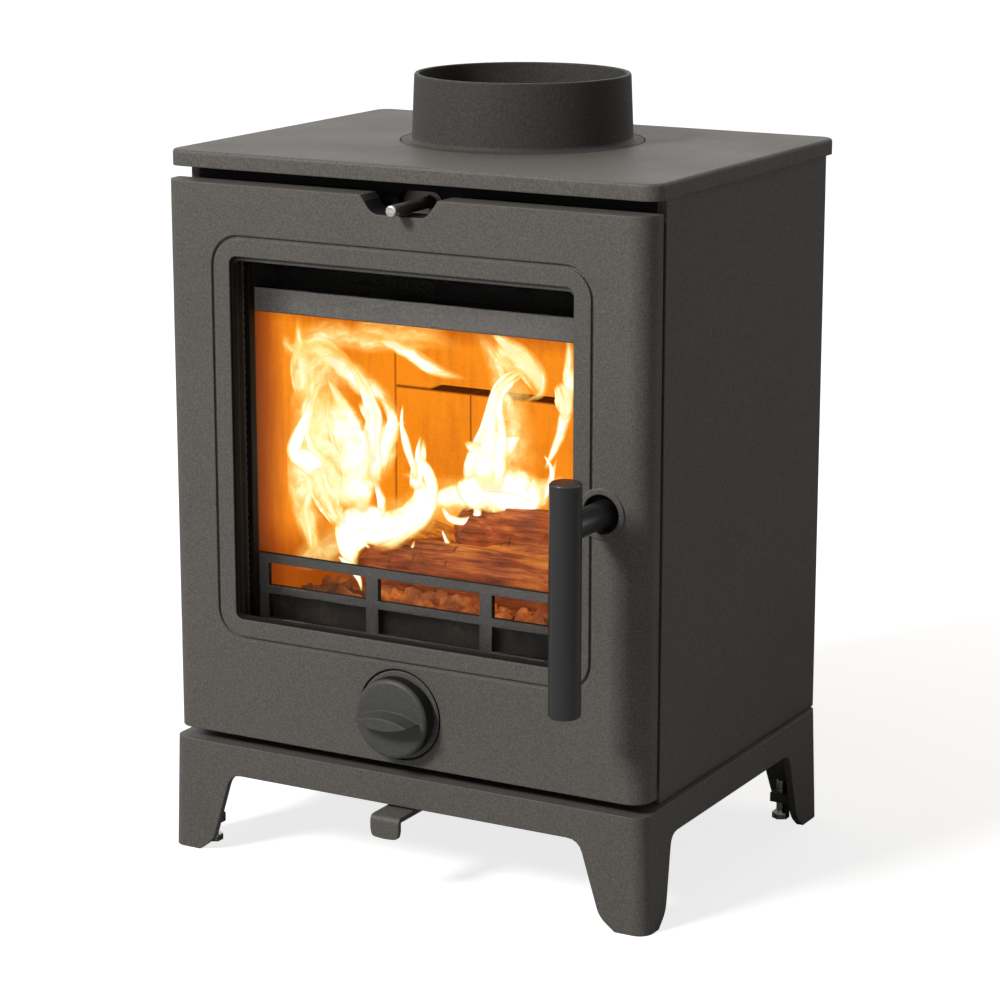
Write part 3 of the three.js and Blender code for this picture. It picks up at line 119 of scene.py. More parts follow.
def linear(red: int, green: int, blue: int) -> Colour:
    """Turns 0 to 255 display colour into Blender's linear colour.

    Args:
        red: Red as displayed.
        green: Green as displayed.
        blue: Blue as displayed.

    Returns:
        The three channels as linear light.
    """

    def channel(value: float) -> float:
        """One channel from 0 to 1."""
        return value / 12.92 if value <= 0.04045 else ((value + 0.055) / 1.055) ** 2.4

    return (channel(red / 255), channel(green / 255), channel(blue / 255))


def scaled(colour: Colour, factor: float, most: float | None = None) -> Colour:
    """A colour times a factor, with no channel above the highest value where one is given."""
    channels = (channel * factor for channel in colour)
    return tuple(channel if most is None else min(channel, most) for channel in channels)


# ------------------------------------------------------------------ node trees


@dataclass
class Tree:
    """A node tree with short ways to add and join nodes."""

    nodes: bpy.types.NodeTree

    def add(self, kind: str, **settings: object) -> Node:
        """Adds a node of a kind and sets its properties.

        Args:
            kind: The node's type name.
            settings: Its properties, by name.

        Returns:
            The node.
        """
        node = self.nodes.nodes.new(kind)
        for name, value in settings.items():
            setattr(node, name, value)
        return node

    def put(self, socket: Socket, value: object) -> None:
        """Joins a socket to another, or sets it to a constant.

        Args:
            socket: The input to feed.
            value: An output socket, a number or a colour.
        """
        if isinstance(value, Socket):
            self.nodes.links.new(value, socket)
        elif isinstance(value, tuple) and len(value) == 3 and socket.type == "RGBA":
            socket.default_value = (*value, 1.0)
        else:
            socket.default_value = value

    def feed(self, node: Node, **inputs: object) -> Node:
        """Feeds several inputs of a node.

        Args:
            node: The node.
            inputs: Input names, with underscores for spaces, and what feeds them.

        Returns:
            The node.
        """
        for label, value in inputs.items():
            self.put(node.inputs[label.replace("_", " ")], value)
        return node

    def math(self, kind: str, first: object, second: object = 0.0, third: object = 0.0) -> Socket:
        """The result of a Math node.

        Args:
            kind: The operation.
            first: Its first value.
            second: Its second value.
            third: Its third value, where it takes one.

        Returns:
            The output socket.
        """
        node = self.add("ShaderNodeMath", operation=kind)
        for socket, value in zip(node.inputs, (first, second, third)):
            self.put(socket, value)
        return node.outputs[0]

    def product(self, *values: object) -> Socket:
        """All the values multiplied, from the first on.

        Args:
            values: The numbers or sockets.

        Returns:
            The output socket of the last product.
        """
        result = values[0]
        for value in values[1:]:
            result = self.math("MULTIPLY", result, value)
        return result

    def distance(self, first: object, second: object) -> Socket:
        """How far two numbers are apart."""
        return self.math("ABSOLUTE", self.math("SUBTRACT", first, second))

    def vector(self, kind: str, first: object, second: object = BLACK) -> Socket:
        """The result of a Vector Math node.

        Args:
            kind: The operation.
            first: Its first vector.
            second: Its second vector, or the factor of SCALE.

        Returns:
            The output socket.
        """
        node = self.add("ShaderNodeVectorMath", operation=kind)
        self.put(node.inputs[0], first)
        if kind == "SCALE":
            self.put(node.inputs["Scale"], second)
        else:
            self.put(node.inputs[1], second)
        return node.outputs["Value"] if kind == "DOT_PRODUCT" else node.outputs["Vector"]

    def span(
        self, value: object, low: float, high: float, to_low: float = 0.0, to_high: float = 1.0
    ) -> Socket:
        """A value carried from one range to another, held at the ends.

        Args:
            value: The value.
            low: Where the first range starts.
            high: Where it ends, which may be below its start.
            to_low: What its start becomes.
            to_high: What its end becomes.

        Returns:
            The output socket.
        """
        node = self.add("ShaderNodeMapRange", clamp=True)
        for socket, number in zip(node.inputs, (value, low, high, to_low, to_high)):
            self.put(socket, number)
        return node.outputs["Result"]

    def mix(self, factor: object, first: object, second: object, blend: str = "MIX") -> Socket:
        """The colour between two colours.

        Args:
            factor: How much of the second there is, from 0 to 1.
            first: The first colour.
            second: The second colour.
            blend: How the second is laid over the first.

        Returns:
            The output socket.
        """
        node = self.add("ShaderNodeMix", data_type="RGBA", blend_type=blend)
        self.put(node.inputs[0], factor)
        self.put(node.inputs[6], first)
        self.put(node.inputs[7], second)
        return node.outputs[2]

    def ramp(self, factor: object, stops: Sequence[tuple[float, Colour]]) -> Socket:
        """A colour read from a ramp.

        Args:
            factor: Where on the ramp it is read.
            stops: Place and colour of each stop, in order.

        Returns:
            The output socket.
        """
        node = self.add("ShaderNodeValToRGB")
        self.put(node.inputs[0], factor)
        elements = node.color_ramp.elements
        for element, (place, colour) in zip(elements, (stops[0], stops[-1])):
            element.position = place
            element.color = (*colour, 1.0)
        for place, colour in stops[1:-1]:
            elements.new(place).color = (*colour, 1.0)
        return node.outputs["Color"]

    def noise(
        self,
        place: object,
        scale: object,
        detail: float = 2.0,
        rough: float = 0.5,
        bend: float = 0.0,
    ) -> Node:
        """A Noise Texture.

        Args:
            place: Where it is read.
            scale: Its scale.
            detail: How many finer layers it has.
            rough: How strong the finer layers are.
            bend: How far it is distorted.

        Returns:
            The node, which gives Fac and Color.
        """
        node = self.add("ShaderNodeTexNoise")
        self.feed(node, Vector=place, Scale=scale, Detail=detail)
        return self.feed(node, Roughness=rough, Distortion=bend)

    def cloud(
        self, place: object, scale: object, detail: float = 2.0, rough: float = 0.5
    ) -> Socket:
        """The grey value of a Noise Texture, with the settings of noise."""
        return self.noise(place, scale, detail, rough).outputs["Fac"]

    def cells(self, place: object, scale: object, feature: str = "F1") -> Socket:
        """The distance to the nearest point of a Voronoi Texture.

        Args:
            place: Where it is read.
            scale: Its scale.
            feature: Which distance it gives.

        Returns:
            The output socket.
        """
        node = self.add("ShaderNodeTexVoronoi", feature=feature)
        return self.feed(node, Vector=place, Scale=scale).outputs["Distance"]

    def within(self, value: object, low: float, high: float) -> Socket:
        """1 where a value lies between two numbers, and 0 elsewhere."""
        above = self.math("GREATER_THAN", value, low)
        return self.math("MULTIPLY", above, self.math("LESS_THAN", value, high))

    def place(self) -> Socket:
        """The point on the surface, in the model's frame."""
        return self.add("ShaderNodeTexCoord").outputs["Object"]

    def facing(self) -> Socket:
        """The way that the surface faces."""
        return self.add("ShaderNodeNewGeometry").outputs["Normal"]

    def axes(self, vector: object) -> bpy.types.bpy_prop_collection:
        """A vector taken apart.

        Args:
            vector: The vector.

        Returns:
            Its X, Y and Z outputs, by name.
        """
        node = self.add("ShaderNodeSeparateXYZ")
        self.put(node.inputs[0], vector)
        return node.outputs

    def relief(
        self, height: object, strength: float, depth: float, normal: object = None
    ) -> Socket:
        """The normal of a bumpy surface.

        Args:
            height: The height over the surface.
            strength: How much of the bump shows, from 0 to 1.
            depth: How deep a height of 1 is, in metres.
            normal: The normal under the bumps, where it isn't the surface's own.

        Returns:
            The output socket.
        """
        node = self.add("ShaderNodeBump")
        self.feed(node, Strength=strength, Distance=depth, Height=height)
        if normal is not None:
            self.put(node.inputs["Normal"], normal)
        return node.outputs["Normal"]

    def seen(self) -> Socket:
        """1 to the camera, straight or through glass, and 0 to every other ray."""
        path = self.add("ShaderNodeLightPath").outputs
        return self.math("MAXIMUM", path["Is Camera Ray"], path["Is Transmission Ray"])


def node_group(
    kind: str, name: str, inputs: SocketList, outputs: Sequence[tuple[str, str]]
) -> tuple[Tree, Node, Node]:
    """Starts a node group.

    Args:
        kind: The group's tree type.
        name: The group's name.
        inputs: Name, socket kind and usual value of each input.
        outputs: Name and socket kind of each output.

    Returns:
        The tree, its input node and its output node.
    """
    group = bpy.data.node_groups.new(name, kind)
    for label, socket_kind, usual in inputs:
        socket = group.interface.new_socket(label, in_out="INPUT", socket_type=socket_kind)
        if usual is not None:
            socket.default_value = usual
    for label, socket_kind in outputs:
        group.interface.new_socket(label, in_out="OUTPUT", socket_type=socket_kind)
    tree = Tree(group)
    return tree, tree.add("NodeGroupInput"), tree.add("NodeGroupOutput")


def shader_group(
    name: str, inputs: SocketList, outputs: Sequence[tuple[str, str]]
) -> tuple[Tree, Node, Node]:
    """Starts a shader node group, as node_group does."""
    return node_group("ShaderNodeTree", name, inputs, outputs)


@dataclass
class Effects:
    """The shader node groups that several finishes share, each built when it is first used."""

    edge_radius: float = 1.1 * MM
    made: dict[str, bpy.types.NodeTree] = field(default_factory=dict)

    def use(self, tree: Tree, name: str, **values: object) -> bpy.types.bpy_prop_collection:
        """Places a shared effect in a material.

        Args:
            tree: The material's tree.
            name: The effect's method name.
            values: Input names, with underscores for spaces, and what feeds them.

        Returns:
            The group's outputs, by name.
        """
        if name not in self.made:
            self.made[name] = getattr(self, name)()
        return tree.feed(tree.add("ShaderNodeGroup", node_tree=self.made[name]), **values).outputs

    def grain(self) -> bpy.types.NodeTree:
        """Fine round grains, as in sprayed stove paint over a casting, with a slow mottle.

        Returns:
            The group's tree.
        """
        tree, start, end = shader_group(
            "grain",
            [("Scale", "NodeSocketFloat", 800.0), ("Mottle Scale", "NodeSocketFloat", 16.0)],
            [(name, "NodeSocketFloat") for name in ("Height", "Speckle", "Mottle")],
        )
        place = tree.place()
        fine = tree.cloud(place, start.outputs["Scale"], 3.0, 0.62)
        lump = tree.math("SUBTRACT", 1.0, tree.cells(place, start.outputs["Scale"], "SMOOTH_F1"))
        lumps, grains = tree.math("MULTIPLY", lump, 0.55), tree.math("MULTIPLY", fine, 0.6)
        height = tree.math("ADD", lumps, grains)
        slow = tree.cloud(place, start.outputs["Mottle Scale"], 4.0, 0.55)
        mottle = tree.span(slow, 0.3, 0.7)
        tree.feed(end, Height=height, Speckle=tree.span(fine, 0.34, 0.68), Mottle=mottle)
        return tree.nodes

    def edge(self) -> bpy.types.NodeTree:
        """A mask of worn edges and the normal of a slightly rounded edge.

        Returns:
            The group's tree.
        """
        tree, start, end = shader_group(
            "edge",
            [("Amount", "NodeSocketFloat", 0.5), ("Break Up", "NodeSocketFloat", 60.0)],
            [("Mask", "NodeSocketFloat"), ("Normal", "NodeSocketVector")],
        )
        soft = tree.feed(tree.add("ShaderNodeBevel", samples=6), Radius=self.edge_radius)
        turn = tree.vector("DOT_PRODUCT", soft.outputs["Normal"], tree.facing())
        patch = tree.cloud(tree.place(), start.outputs["Break Up"], 3.0, 0.6)
        bare = tree.span(turn, 0.995, 0.86)
        worn = tree.product(bare, tree.span(patch, 0.4, 0.66), start.outputs["Amount"])
        tree.feed(end, Mask=worn, Normal=soft.outputs["Normal"])
        return tree.nodes

    def dust_and_top_light(self) -> bpy.types.NodeTree:
        """A thin uneven lighter film on what faces up: fine ash, and painted top light.

        Returns:
            The group's tree.
        """
        tree, start, end = shader_group(
            "dust_and_top_light",
            [("Amount", "NodeSocketFloat", 0.3), ("Scale", "NodeSocketFloat", 24.0)],
            [("Mask", "NodeSocketFloat")],
        )
        up = tree.span(tree.axes(tree.facing())["Z"], 0.6, 0.95)
        patch = tree.span(tree.cloud(tree.place(), start.outputs["Scale"], 5.0, 0.6), 0.35, 0.7)
        tree.feed(end, Mask=tree.product(up, patch, start.outputs["Amount"]))
        return tree.nodes

    def streaks(self) -> bpy.types.NodeTree:
        """Long fine lines along one axis, as on drawn or brushed steel.

        Returns:
            The group's tree.
        """
        tree, start, end = shader_group(
            "streaks",
            [("Stretch", "NodeSocketVector", WHITE), ("Scale", "NodeSocketFloat", 700.0)],
            [("Lines", "NodeSocketFloat")],
        )
        long = tree.vector("MULTIPLY", tree.place(), start.outputs["Stretch"])
        tree.feed(end, Lines=tree.cloud(long, start.outputs["Scale"], 3.0, 0.6))
        return tree.nodes


EFFECTS = Effects()


def new_material(name: str) -> tuple[bpy.types.Material, Tree, Node]:
    """An empty node material with its Principled shader.

    Args:
        name: The material's name.

    Returns:
        The material, its tree and the shader node.
    """
    material = bpy.data.materials.new(name)
    material.use_nodes = True
    tree = Tree(material.node_tree)
    return material, tree, material.node_tree.nodes["Principled BSDF"]


class Finish(Protocol):
    """What every finish has: a name, and a method that makes its material."""

    @property
    def name(self) -> str:
        """The material's name."""
        ...

    def build(self) -> bpy.types.Material:
        """Makes the material.

        Returns:
            The material.
        """
        ...


@dataclass(frozen=True)
class SootAndShade:
    """Where a casting is darkened to near black behind a plane that faces the door side: soot, and
    painted shade in its recesses and inside the firebox.

    Areas are (left, right, low, high) and wells are (x, z, inner radius, outer radius). What faces
    the front above lit_above, within lit_depth of the plane, keeps some painted light towards the
    right and goes into painted shadow towards the left.
    """

    front: float
    areas: tuple[tuple[float, float, float, float], ...] = ((-1.0, 1.0, -1.0, 1.0),)
    wells: tuple[tuple[float, float, float, float], ...] = ()
    lit_above: float = 1.0
    lit_depth: float = 2.1 * MM
    lit_from: tuple[float, float] = (-116 * MM, -92 * MM)
    step: float = 0.5 * MM

    def mask(self, tree: Tree) -> Socket:
        """Builds the mask.

        Args:
            tree: The material's tree.

        Returns:
            1 where there is soot and painted shade, and 0 elsewhere.
        """
        x, y, z = tree.axes(tree.place())
        inside: object = 0.0
        for left, right, low, high in self.areas:
            area = tree.product(tree.within(x, left, right), tree.within(z, low, high))
            inside = tree.math("MAXIMUM", inside, area)
        for centre_x, centre_z, near, far in self.wells:
            off_x = tree.math("POWER", tree.distance(x, centre_x), 2.0)
            off_z = tree.math("POWER", tree.distance(z, centre_z), 2.0)
            away = tree.math("SQRT", tree.math("ADD", off_x, off_z))
            inside = tree.math("MAXIMUM", inside, tree.within(away, near, far))
        # A painted lit strip on the front faces above lit_above, fading into painted shadow to the
        # left.
        lit = tree.product(
            tree.within(z, self.lit_above, 1.0),
            tree.within(y, -1.0, self.front + self.lit_depth),
            tree.math("LESS_THAN", tree.axes(tree.facing())["Y"], -0.9),
            tree.span(x, *self.lit_from),
        )
        deep = tree.span(y, self.front, self.front + self.step)
        return tree.product(deep, inside, tree.math("MULTIPLY_ADD", lit, -0.75, 1.0))


@dataclass(frozen=True)
class SprayedPaint:
    """Matt heat-proof paint with fine grains, over cast iron."""

    name: str
    base: Colour
    grain: float = 900.0
    contrast: float = 0.3
    depth: float = 0.3
    grain_height: float = 0.3 * MM
    roughness: tuple[float, float] = (0.46, 0.58)
    wear: float = 0.35
    # Amount of the lighter film on upward faces: ash and painted top light.
    ash: float = 0.05
    gloss: float = 0.3
    worn: Colour = linear(136, 130, 122)
    ash_and_top_light_tint: Colour = linear(150, 143, 134)
    # Near-black colour of soot and painted shade.
    soot_and_shade_tint: Colour = linear(9, 8, 7)
    soot: SootAndShade | None = None

    def build(self) -> bpy.types.Material:
        """Makes the material: grains, mottle, worn edges, an ash film with painted top light, soot
        and painted shade, and a grained normal.

        Returns:
            The material.
        """
        material, tree, shader = new_material(self.name)
        grain = EFFECTS.use(tree, "grain", Scale=self.grain, Mottle_Scale=13.0)
        edge = EFFECTS.use(tree, "edge", Amount=self.wear, Break_Up=70.0)
        dust_and_top_light = EFFECTS.use(tree, "dust_and_top_light", Amount=self.ash, Scale=20.0)
        shade = tree.math("MULTIPLY_ADD", grain["Mottle"], 0.1, 0.95)
        dark, bright = scaled(self.base, 1 - self.contrast), scaled(self.base, 1 + self.contrast)
        colour = tree.mix(grain["Speckle"], dark, bright)
        colour = tree.mix(1.0, colour, tree.mix(shade, BLACK, WHITE), "MULTIPLY")
        colour = tree.mix(dust_and_top_light["Mask"], colour, self.ash_and_top_light_tint)
        colour = tree.mix(edge["Mask"], colour, self.worn)
        rough = tree.span(grain["Mottle"], 0.0, 1.0, *self.roughness)
        # Soot, and painted shade in recesses and inside the firebox.
        if self.soot:
            soot = self.soot.mask(tree)
            colour = tree.mix(soot, colour, self.soot_and_shade_tint)
            rough = tree.math("MAXIMUM", rough, tree.math("MULTIPLY", soot, 0.9))
        normal = tree.relief(grain["Height"], self.depth, self.grain_height, edge["Normal"])
        tree.feed(
            shader, Base_Color=colour, Roughness=rough, Normal=normal, Specular_IOR_Level=self.gloss
        )
        return material


@dataclass(frozen=True)
class DrawnSteel:
    """Bright or dull steel with fine lines along one axis."""

    name: str
    base: Colour
    roughness: tuple[float, float]
    stretch: Triple = (0.05, 1.0, 1.0)
    metallic: float = 1.0
    line_height: float = 0.15 * MM

    def build(self) -> bpy.types.Material:
        """Makes the material: lines, a slow stain and worn edges.

        Returns:
            The material.
        """
        material, tree, shader = new_material(self.name)
        lines = EFFECTS.use(tree, "streaks", Stretch=self.stretch, Scale=900.0)["Lines"]
        edge = EFFECTS.use(tree, "edge", Amount=0.6, Break_Up=110.0)
        stain = tree.span(tree.cloud(tree.place(), 38.0, 4.0, 0.6), 0.3, 0.7)
        shade = tree.math("MULTIPLY_ADD", stain, 0.6, 0.15)
        colour = tree.mix(shade, self.base, scaled(self.base, 0.55))
        shine = tree.span(lines, 0.5, 0.75, 0.0, 0.35)
        colour = tree.mix(shine, colour, scaled(self.base, 1.6, 1.0))
        colour = tree.mix(edge["Mask"], colour, scaled(self.base, 1.8, 0.9))
        tree.feed(
            shader,
            Base_Color=colour,
            Metallic=self.metallic,
            Roughness=tree.span(lines, 0.3, 0.7, *self.roughness),
            Normal=tree.relief(lines, 0.12, self.line_height, edge["Normal"]),
        )
        return material


@dataclass(frozen=True)
class HotIron:
    """Unpainted cast iron inside the fire, scaled and sooty."""

    name: str
    base: Colour
    scale_tint: Colour = linear(96, 78, 62)
    ash_and_top_light_tint: Colour = linear(128, 122, 114)
    worn: Colour = linear(120, 114, 106)
    skin_height: float = 0.6 * MM

    def build(self) -> bpy.types.Material:
        """Makes the material: scale patches, ash and painted top light on what faces up, and a
        rough skin.

        Returns:
            The material.
        """
        material, tree, shader = new_material(self.name)
        grain = EFFECTS.use(tree, "grain", Scale=420.0, Mottle_Scale=40.0)
        dust_and_top_light = EFFECTS.use(tree, "dust_and_top_light", Amount=0.5, Scale=34.0)
        edge = EFFECTS.use(tree, "edge", Amount=0.35, Break_Up=90.0)
        scale = tree.span(grain["Mottle"], 0.5, 1.0, 0.0, 0.5)
        pits = tree.span(grain["Speckle"], 0.5, 0.0, 0.0, 0.6)
        colour = tree.mix(scale, self.base, self.scale_tint)
        colour = tree.mix(pits, colour, scaled(self.base, 0.5))
        colour = tree.mix(dust_and_top_light["Mask"], colour, self.ash_and_top_light_tint)
        colour = tree.mix(edge["Mask"], colour, self.worn)
        tree.feed(
            shader,
            Base_Color=colour,
            Metallic=0.2,
            Roughness=tree.span(grain["Mottle"], 0.0, 1.0, 0.62, 0.86),
            Normal=tree.relief(grain["Height"], 0.4, self.skin_height, edge["Normal"]),
        )
        return material


@dataclass(frozen=True)
class FireBrick:
    """Pressed vermiculite board with the fire's light painted on it as a glow, and dark joints
    between the boards.

    The painted light fades into painted shade towards the door, the top and the hearth, from the
    second number of each fade to its first.
    """

    name: str
    # Strength of the painted firelight, given off by the board itself.
    glow: float = 0.97
    cold: Colour = linear(74, 40, 14)
    dusty: Colour = linear(60, 30, 12)
    hot: Colour = linear(251, 142, 22)
    ember: Colour = linear(226, 98, 8)
    joint: Colour = linear(120, 44, 6)
    joint_height: float = 265.75 * MM
    joint_side: float = 69.25 * MM
    back_face: float = 106.2 * MM
    front_fade: tuple[float, float] = (-68 * MM, -30 * MM)
    top_fade: tuple[float, float] = (342 * MM, 322 * MM)
    hearth_fade: tuple[float, float] = (168 * MM, 196 * MM)
    flake_height: float = 0.6 * MM

    def build(self) -> bpy.types.Material:
        """Makes the material: flakes, pits, joints and the fire's light painted on its face.

        Returns:
            The material.
        """
        material, tree, shader = new_material(self.name)
        place = tree.place()
        axis = tree.axes(place)
        flakes = tree.cells(place, 420.0)
        cloud = tree.cloud(place, 16.0, 4.0, 0.55)
        upright = tree.cloud(tree.vector("MULTIPLY", place, (1.0, 1.0, 0.16)), 150.0, 3.0, 0.6)
        colour = tree.mix(tree.span(flakes, 0.2, 0.9), self.cold, scaled(self.cold, 0.66))
        leaned = tree.math("MULTIPLY_ADD", axis["Y"], 0.25, axis["Z"])
        facing = tree.axes(tree.facing())
        lit = tree.product(
            tree.span(axis["Y"], *self.front_fade, 0.12, 1.0),
            tree.span(leaned, *self.top_fade, 0.5, 1.0),
            tree.span(leaned, *self.hearth_fade, 0.45, 1.0),
            tree.math("LESS_THAN", facing["Z"], 0.5),
            tree.math("LESS_THAN", facing["Y"], 0.5),
        )
        wave = tree.product(
            tree.span(cloud, 0.3, 0.72, 0.86, 1.06), tree.span(upright, 0.3, 0.7, 0.9, 1.05)
        )
        strength = tree.product(lit, wave, tree.span(flakes, 0.1, 0.8, 1.01, 0.97))
        joint = self.joints(tree, axis)
        # Painted firelight, from the dim ember colour to the bright hot one, dimmer in the joints.
        light = tree.mix(tree.span(strength, 0.35, 0.95), self.ember, self.hot)
        light = tree.mix(tree.math("MULTIPLY", joint, 0.8), light, self.joint)
        tree.feed(
            shader,
            Base_Color=tree.mix(joint, colour, self.dusty),
            Roughness=tree.span(cloud, 0.3, 0.7, 0.86, 0.98),
            Emission_Color=tree.mix(strength, BLACK, light),
            Emission_Strength=self.glow,
            Normal=tree.relief(flakes, 0.4, self.flake_height),
        )
        return material

    def joints(self, tree: Tree, axis: bpy.types.bpy_prop_collection) -> Socket:
        """A mask of the joints between the boards.

        Args:
            tree: The material's tree.
            axis: The place on the surface, as X, Y and Z.

        Returns:
            1 at the middle of a joint and 0 beside it.
        """

        def line(value: object, at: float, half: float = 1.0 * MM) -> Socket:
            """A soft line where a value passes a number."""
            return tree.span(tree.distance(value, at), half, half * 0.3)

        on_back = tree.math("GREATER_THAN", axis["Y"], self.back_face - 1 * MM)
        on_side = tree.math("SUBTRACT", 1.0, on_back)
        upright = line(tree.math("ABSOLUTE", axis["X"]), self.joint_side)
        upright = tree.product(upright, tree.math("LESS_THAN", axis["Z"], self.joint_height))
        level = line(axis["Z"], self.joint_height, 1.6 * MM)
        back = tree.product(tree.math("MAXIMUM", upright, level), on_back)
        corner = tree.product(line(axis["Y"], self.back_face, 5 * MM), on_side)
        return tree.math("MAXIMUM", back, corner)


@dataclass(frozen=True)
class StoveGlass:
    """Clear glass ceramic with a faint film of smoke in patches."""

    name: str
    smoke: Colour = (0.8, 0.76, 0.7)
    bending: float = 1.04

    def build(self) -> bpy.types.Material:
        """Makes the material: clear, with the film in its colour.

        Returns:
            The material.
        """
        material, tree, shader = new_material(self.name)
        film = tree.span(tree.cloud(tree.place(), 14.0, 4.0, 0.6), 0.4, 0.8, 0.0, 0.05)
        tree.feed(
            shader,
            Base_Color=tree.mix(film, WHITE, self.smoke),
            Roughness=0.0,
            Transmission_Weight=1.0,
            IOR=self.bending,
        )
        return material


@dataclass(frozen=True)
class Braid:
    """Grey glass-fibre rope or tape, with soot in patches."""

    name: str
    base: Colour = linear(62, 60, 56)
    soot: Colour = linear(60, 56, 52)
    fuzz_height: float = 0.4 * MM

    def build(self) -> bpy.types.Material:
        """Makes the material: fuzzy fibre and soot.

        Returns:
            The material.
        """
        material, tree, shader = new_material(self.name)
        place = tree.place()
        fuzz = tree.cloud(place, 1300.0, 3.0, 0.7)
        soot = tree.span(tree.cloud(place, 30.0, 3.0, 0.6), 0.45, 0.75, 0.0, 0.6)
        colour = tree.mix(tree.span(fuzz, 0.3, 0.7), scaled(self.base, 0.5), self.base)
        tree.feed(
            shader,
            Base_Color=tree.mix(soot, colour, self.soot),
            Roughness=tree.span(fuzz, 0.3, 0.7, 0.85, 1.0),
            Normal=tree.relief(fuzz, 0.6, self.fuzz_height),
        )
        return material


@dataclass(frozen=True)
class BurningWood:
    """A split log in the fire: brown grain that glows orange, with charred checks across it."""

    name: str
    heat: float = 0.8
    stretch: Triple = (0.1, 1.0, 1.0)
    check_stretch: Triple = (1.0, 0.35, 0.35)
    char: Colour = linear(46, 20, 8)
    warm: Colour = linear(168, 72, 20)
    bright: Colour = linear(250, 150, 52)
    furrow: Colour = linear(34, 18, 10)
    ridge: Colour = linear(96, 54, 26)
    wander: float = 6 * MM
    grain_height: float = 1.2 * MM

    def build(self) -> bpy.types.Material:
        """Makes the material: long grain, checks, char and glow.

        Returns:
            The material.
        """
        material, tree, shader = new_material(self.name)
        place = tree.place()
        sway = tree.vector("SCALE", tree.noise(place, 24.0, 2.0).outputs["Color"], self.wander)
        bent = tree.vector("ADD", place, sway)
        grain = tree.cloud(tree.vector("MULTIPLY", bent, self.stretch), 330.0, 4.0, 0.62)
        cloud = tree.cloud(place, 30.0, 4.0, 0.6)
        checks = tree.cloud(tree.vector("MULTIPLY", bent, self.check_stretch), 150.0, 3.0, 0.6)
        line = tree.span(grain, 0.34, 0.66)
        patch = tree.span(cloud, 0.34, 0.66)
        check = tree.span(checks, 0.62, 0.7)
        top = tree.span(tree.axes(tree.facing())["Z"], -0.2, 0.9, 0.45, 1.1)
        glow = tree.math("MULTIPLY_ADD", line, 0.55, tree.math("MULTIPLY", patch, 0.45))
        glow = tree.product(glow, top, tree.math("MULTIPLY_ADD", check, -0.8, 1.0))
        stops = [(0.0, self.char), (0.45, self.warm), (1.0, self.bright)]
        tree.feed(
            shader,
            Base_Color=tree.mix(line, self.furrow, self.ridge),
            Roughness=tree.span(cloud, 0.3, 0.7, 0.75, 0.95),
            Emission_Color=tree.ramp(glow, stops),
            Emission_Strength=self.heat,
            Normal=tree.relief(grain, 0.7, self.grain_height),
        )
        return material


@dataclass(frozen=True)
class Coal:
    """Glowing lumps under a skin of brown ash."""

    name: str
    heat: float = 0.6
    hollow: Colour = linear(60, 38, 24)
    ash: Colour = linear(120, 92, 66)
    lump_height: float = 1.0 * MM
    embers: tuple[tuple[float, Colour], ...] = (
        (0.0, linear(52, 20, 6)),
        (0.4, linear(150, 66, 18)),
        (0.8, linear(226, 120, 34)),
        (1.0, linear(255, 190, 90)),
    )

    def build(self) -> bpy.types.Material:
        """Makes the material: ash skin, dark hollows and a few bright lumps.

        Returns:
            The material.
        """
        material, tree, shader = new_material(self.name)
        place = tree.place()
        cloud = tree.cloud(place, 34.0, 3.0, 0.6)
        fine = tree.cloud(place, 380.0, 3.0, 0.6)
        glow = tree.product(tree.span(cloud, 0.36, 0.72), tree.span(fine, 0.3, 0.7, 0.6, 1.1))
        tree.feed(
            shader,
            Base_Color=tree.mix(fine, self.hollow, self.ash),
            Roughness=tree.span(fine, 0.3, 0.7, 0.8, 0.95),
            Emission_Color=tree.ramp(glow, self.embers),
            Emission_Strength=self.heat,
            Normal=tree.relief(fine, 0.6, self.lump_height),
        )
        return material


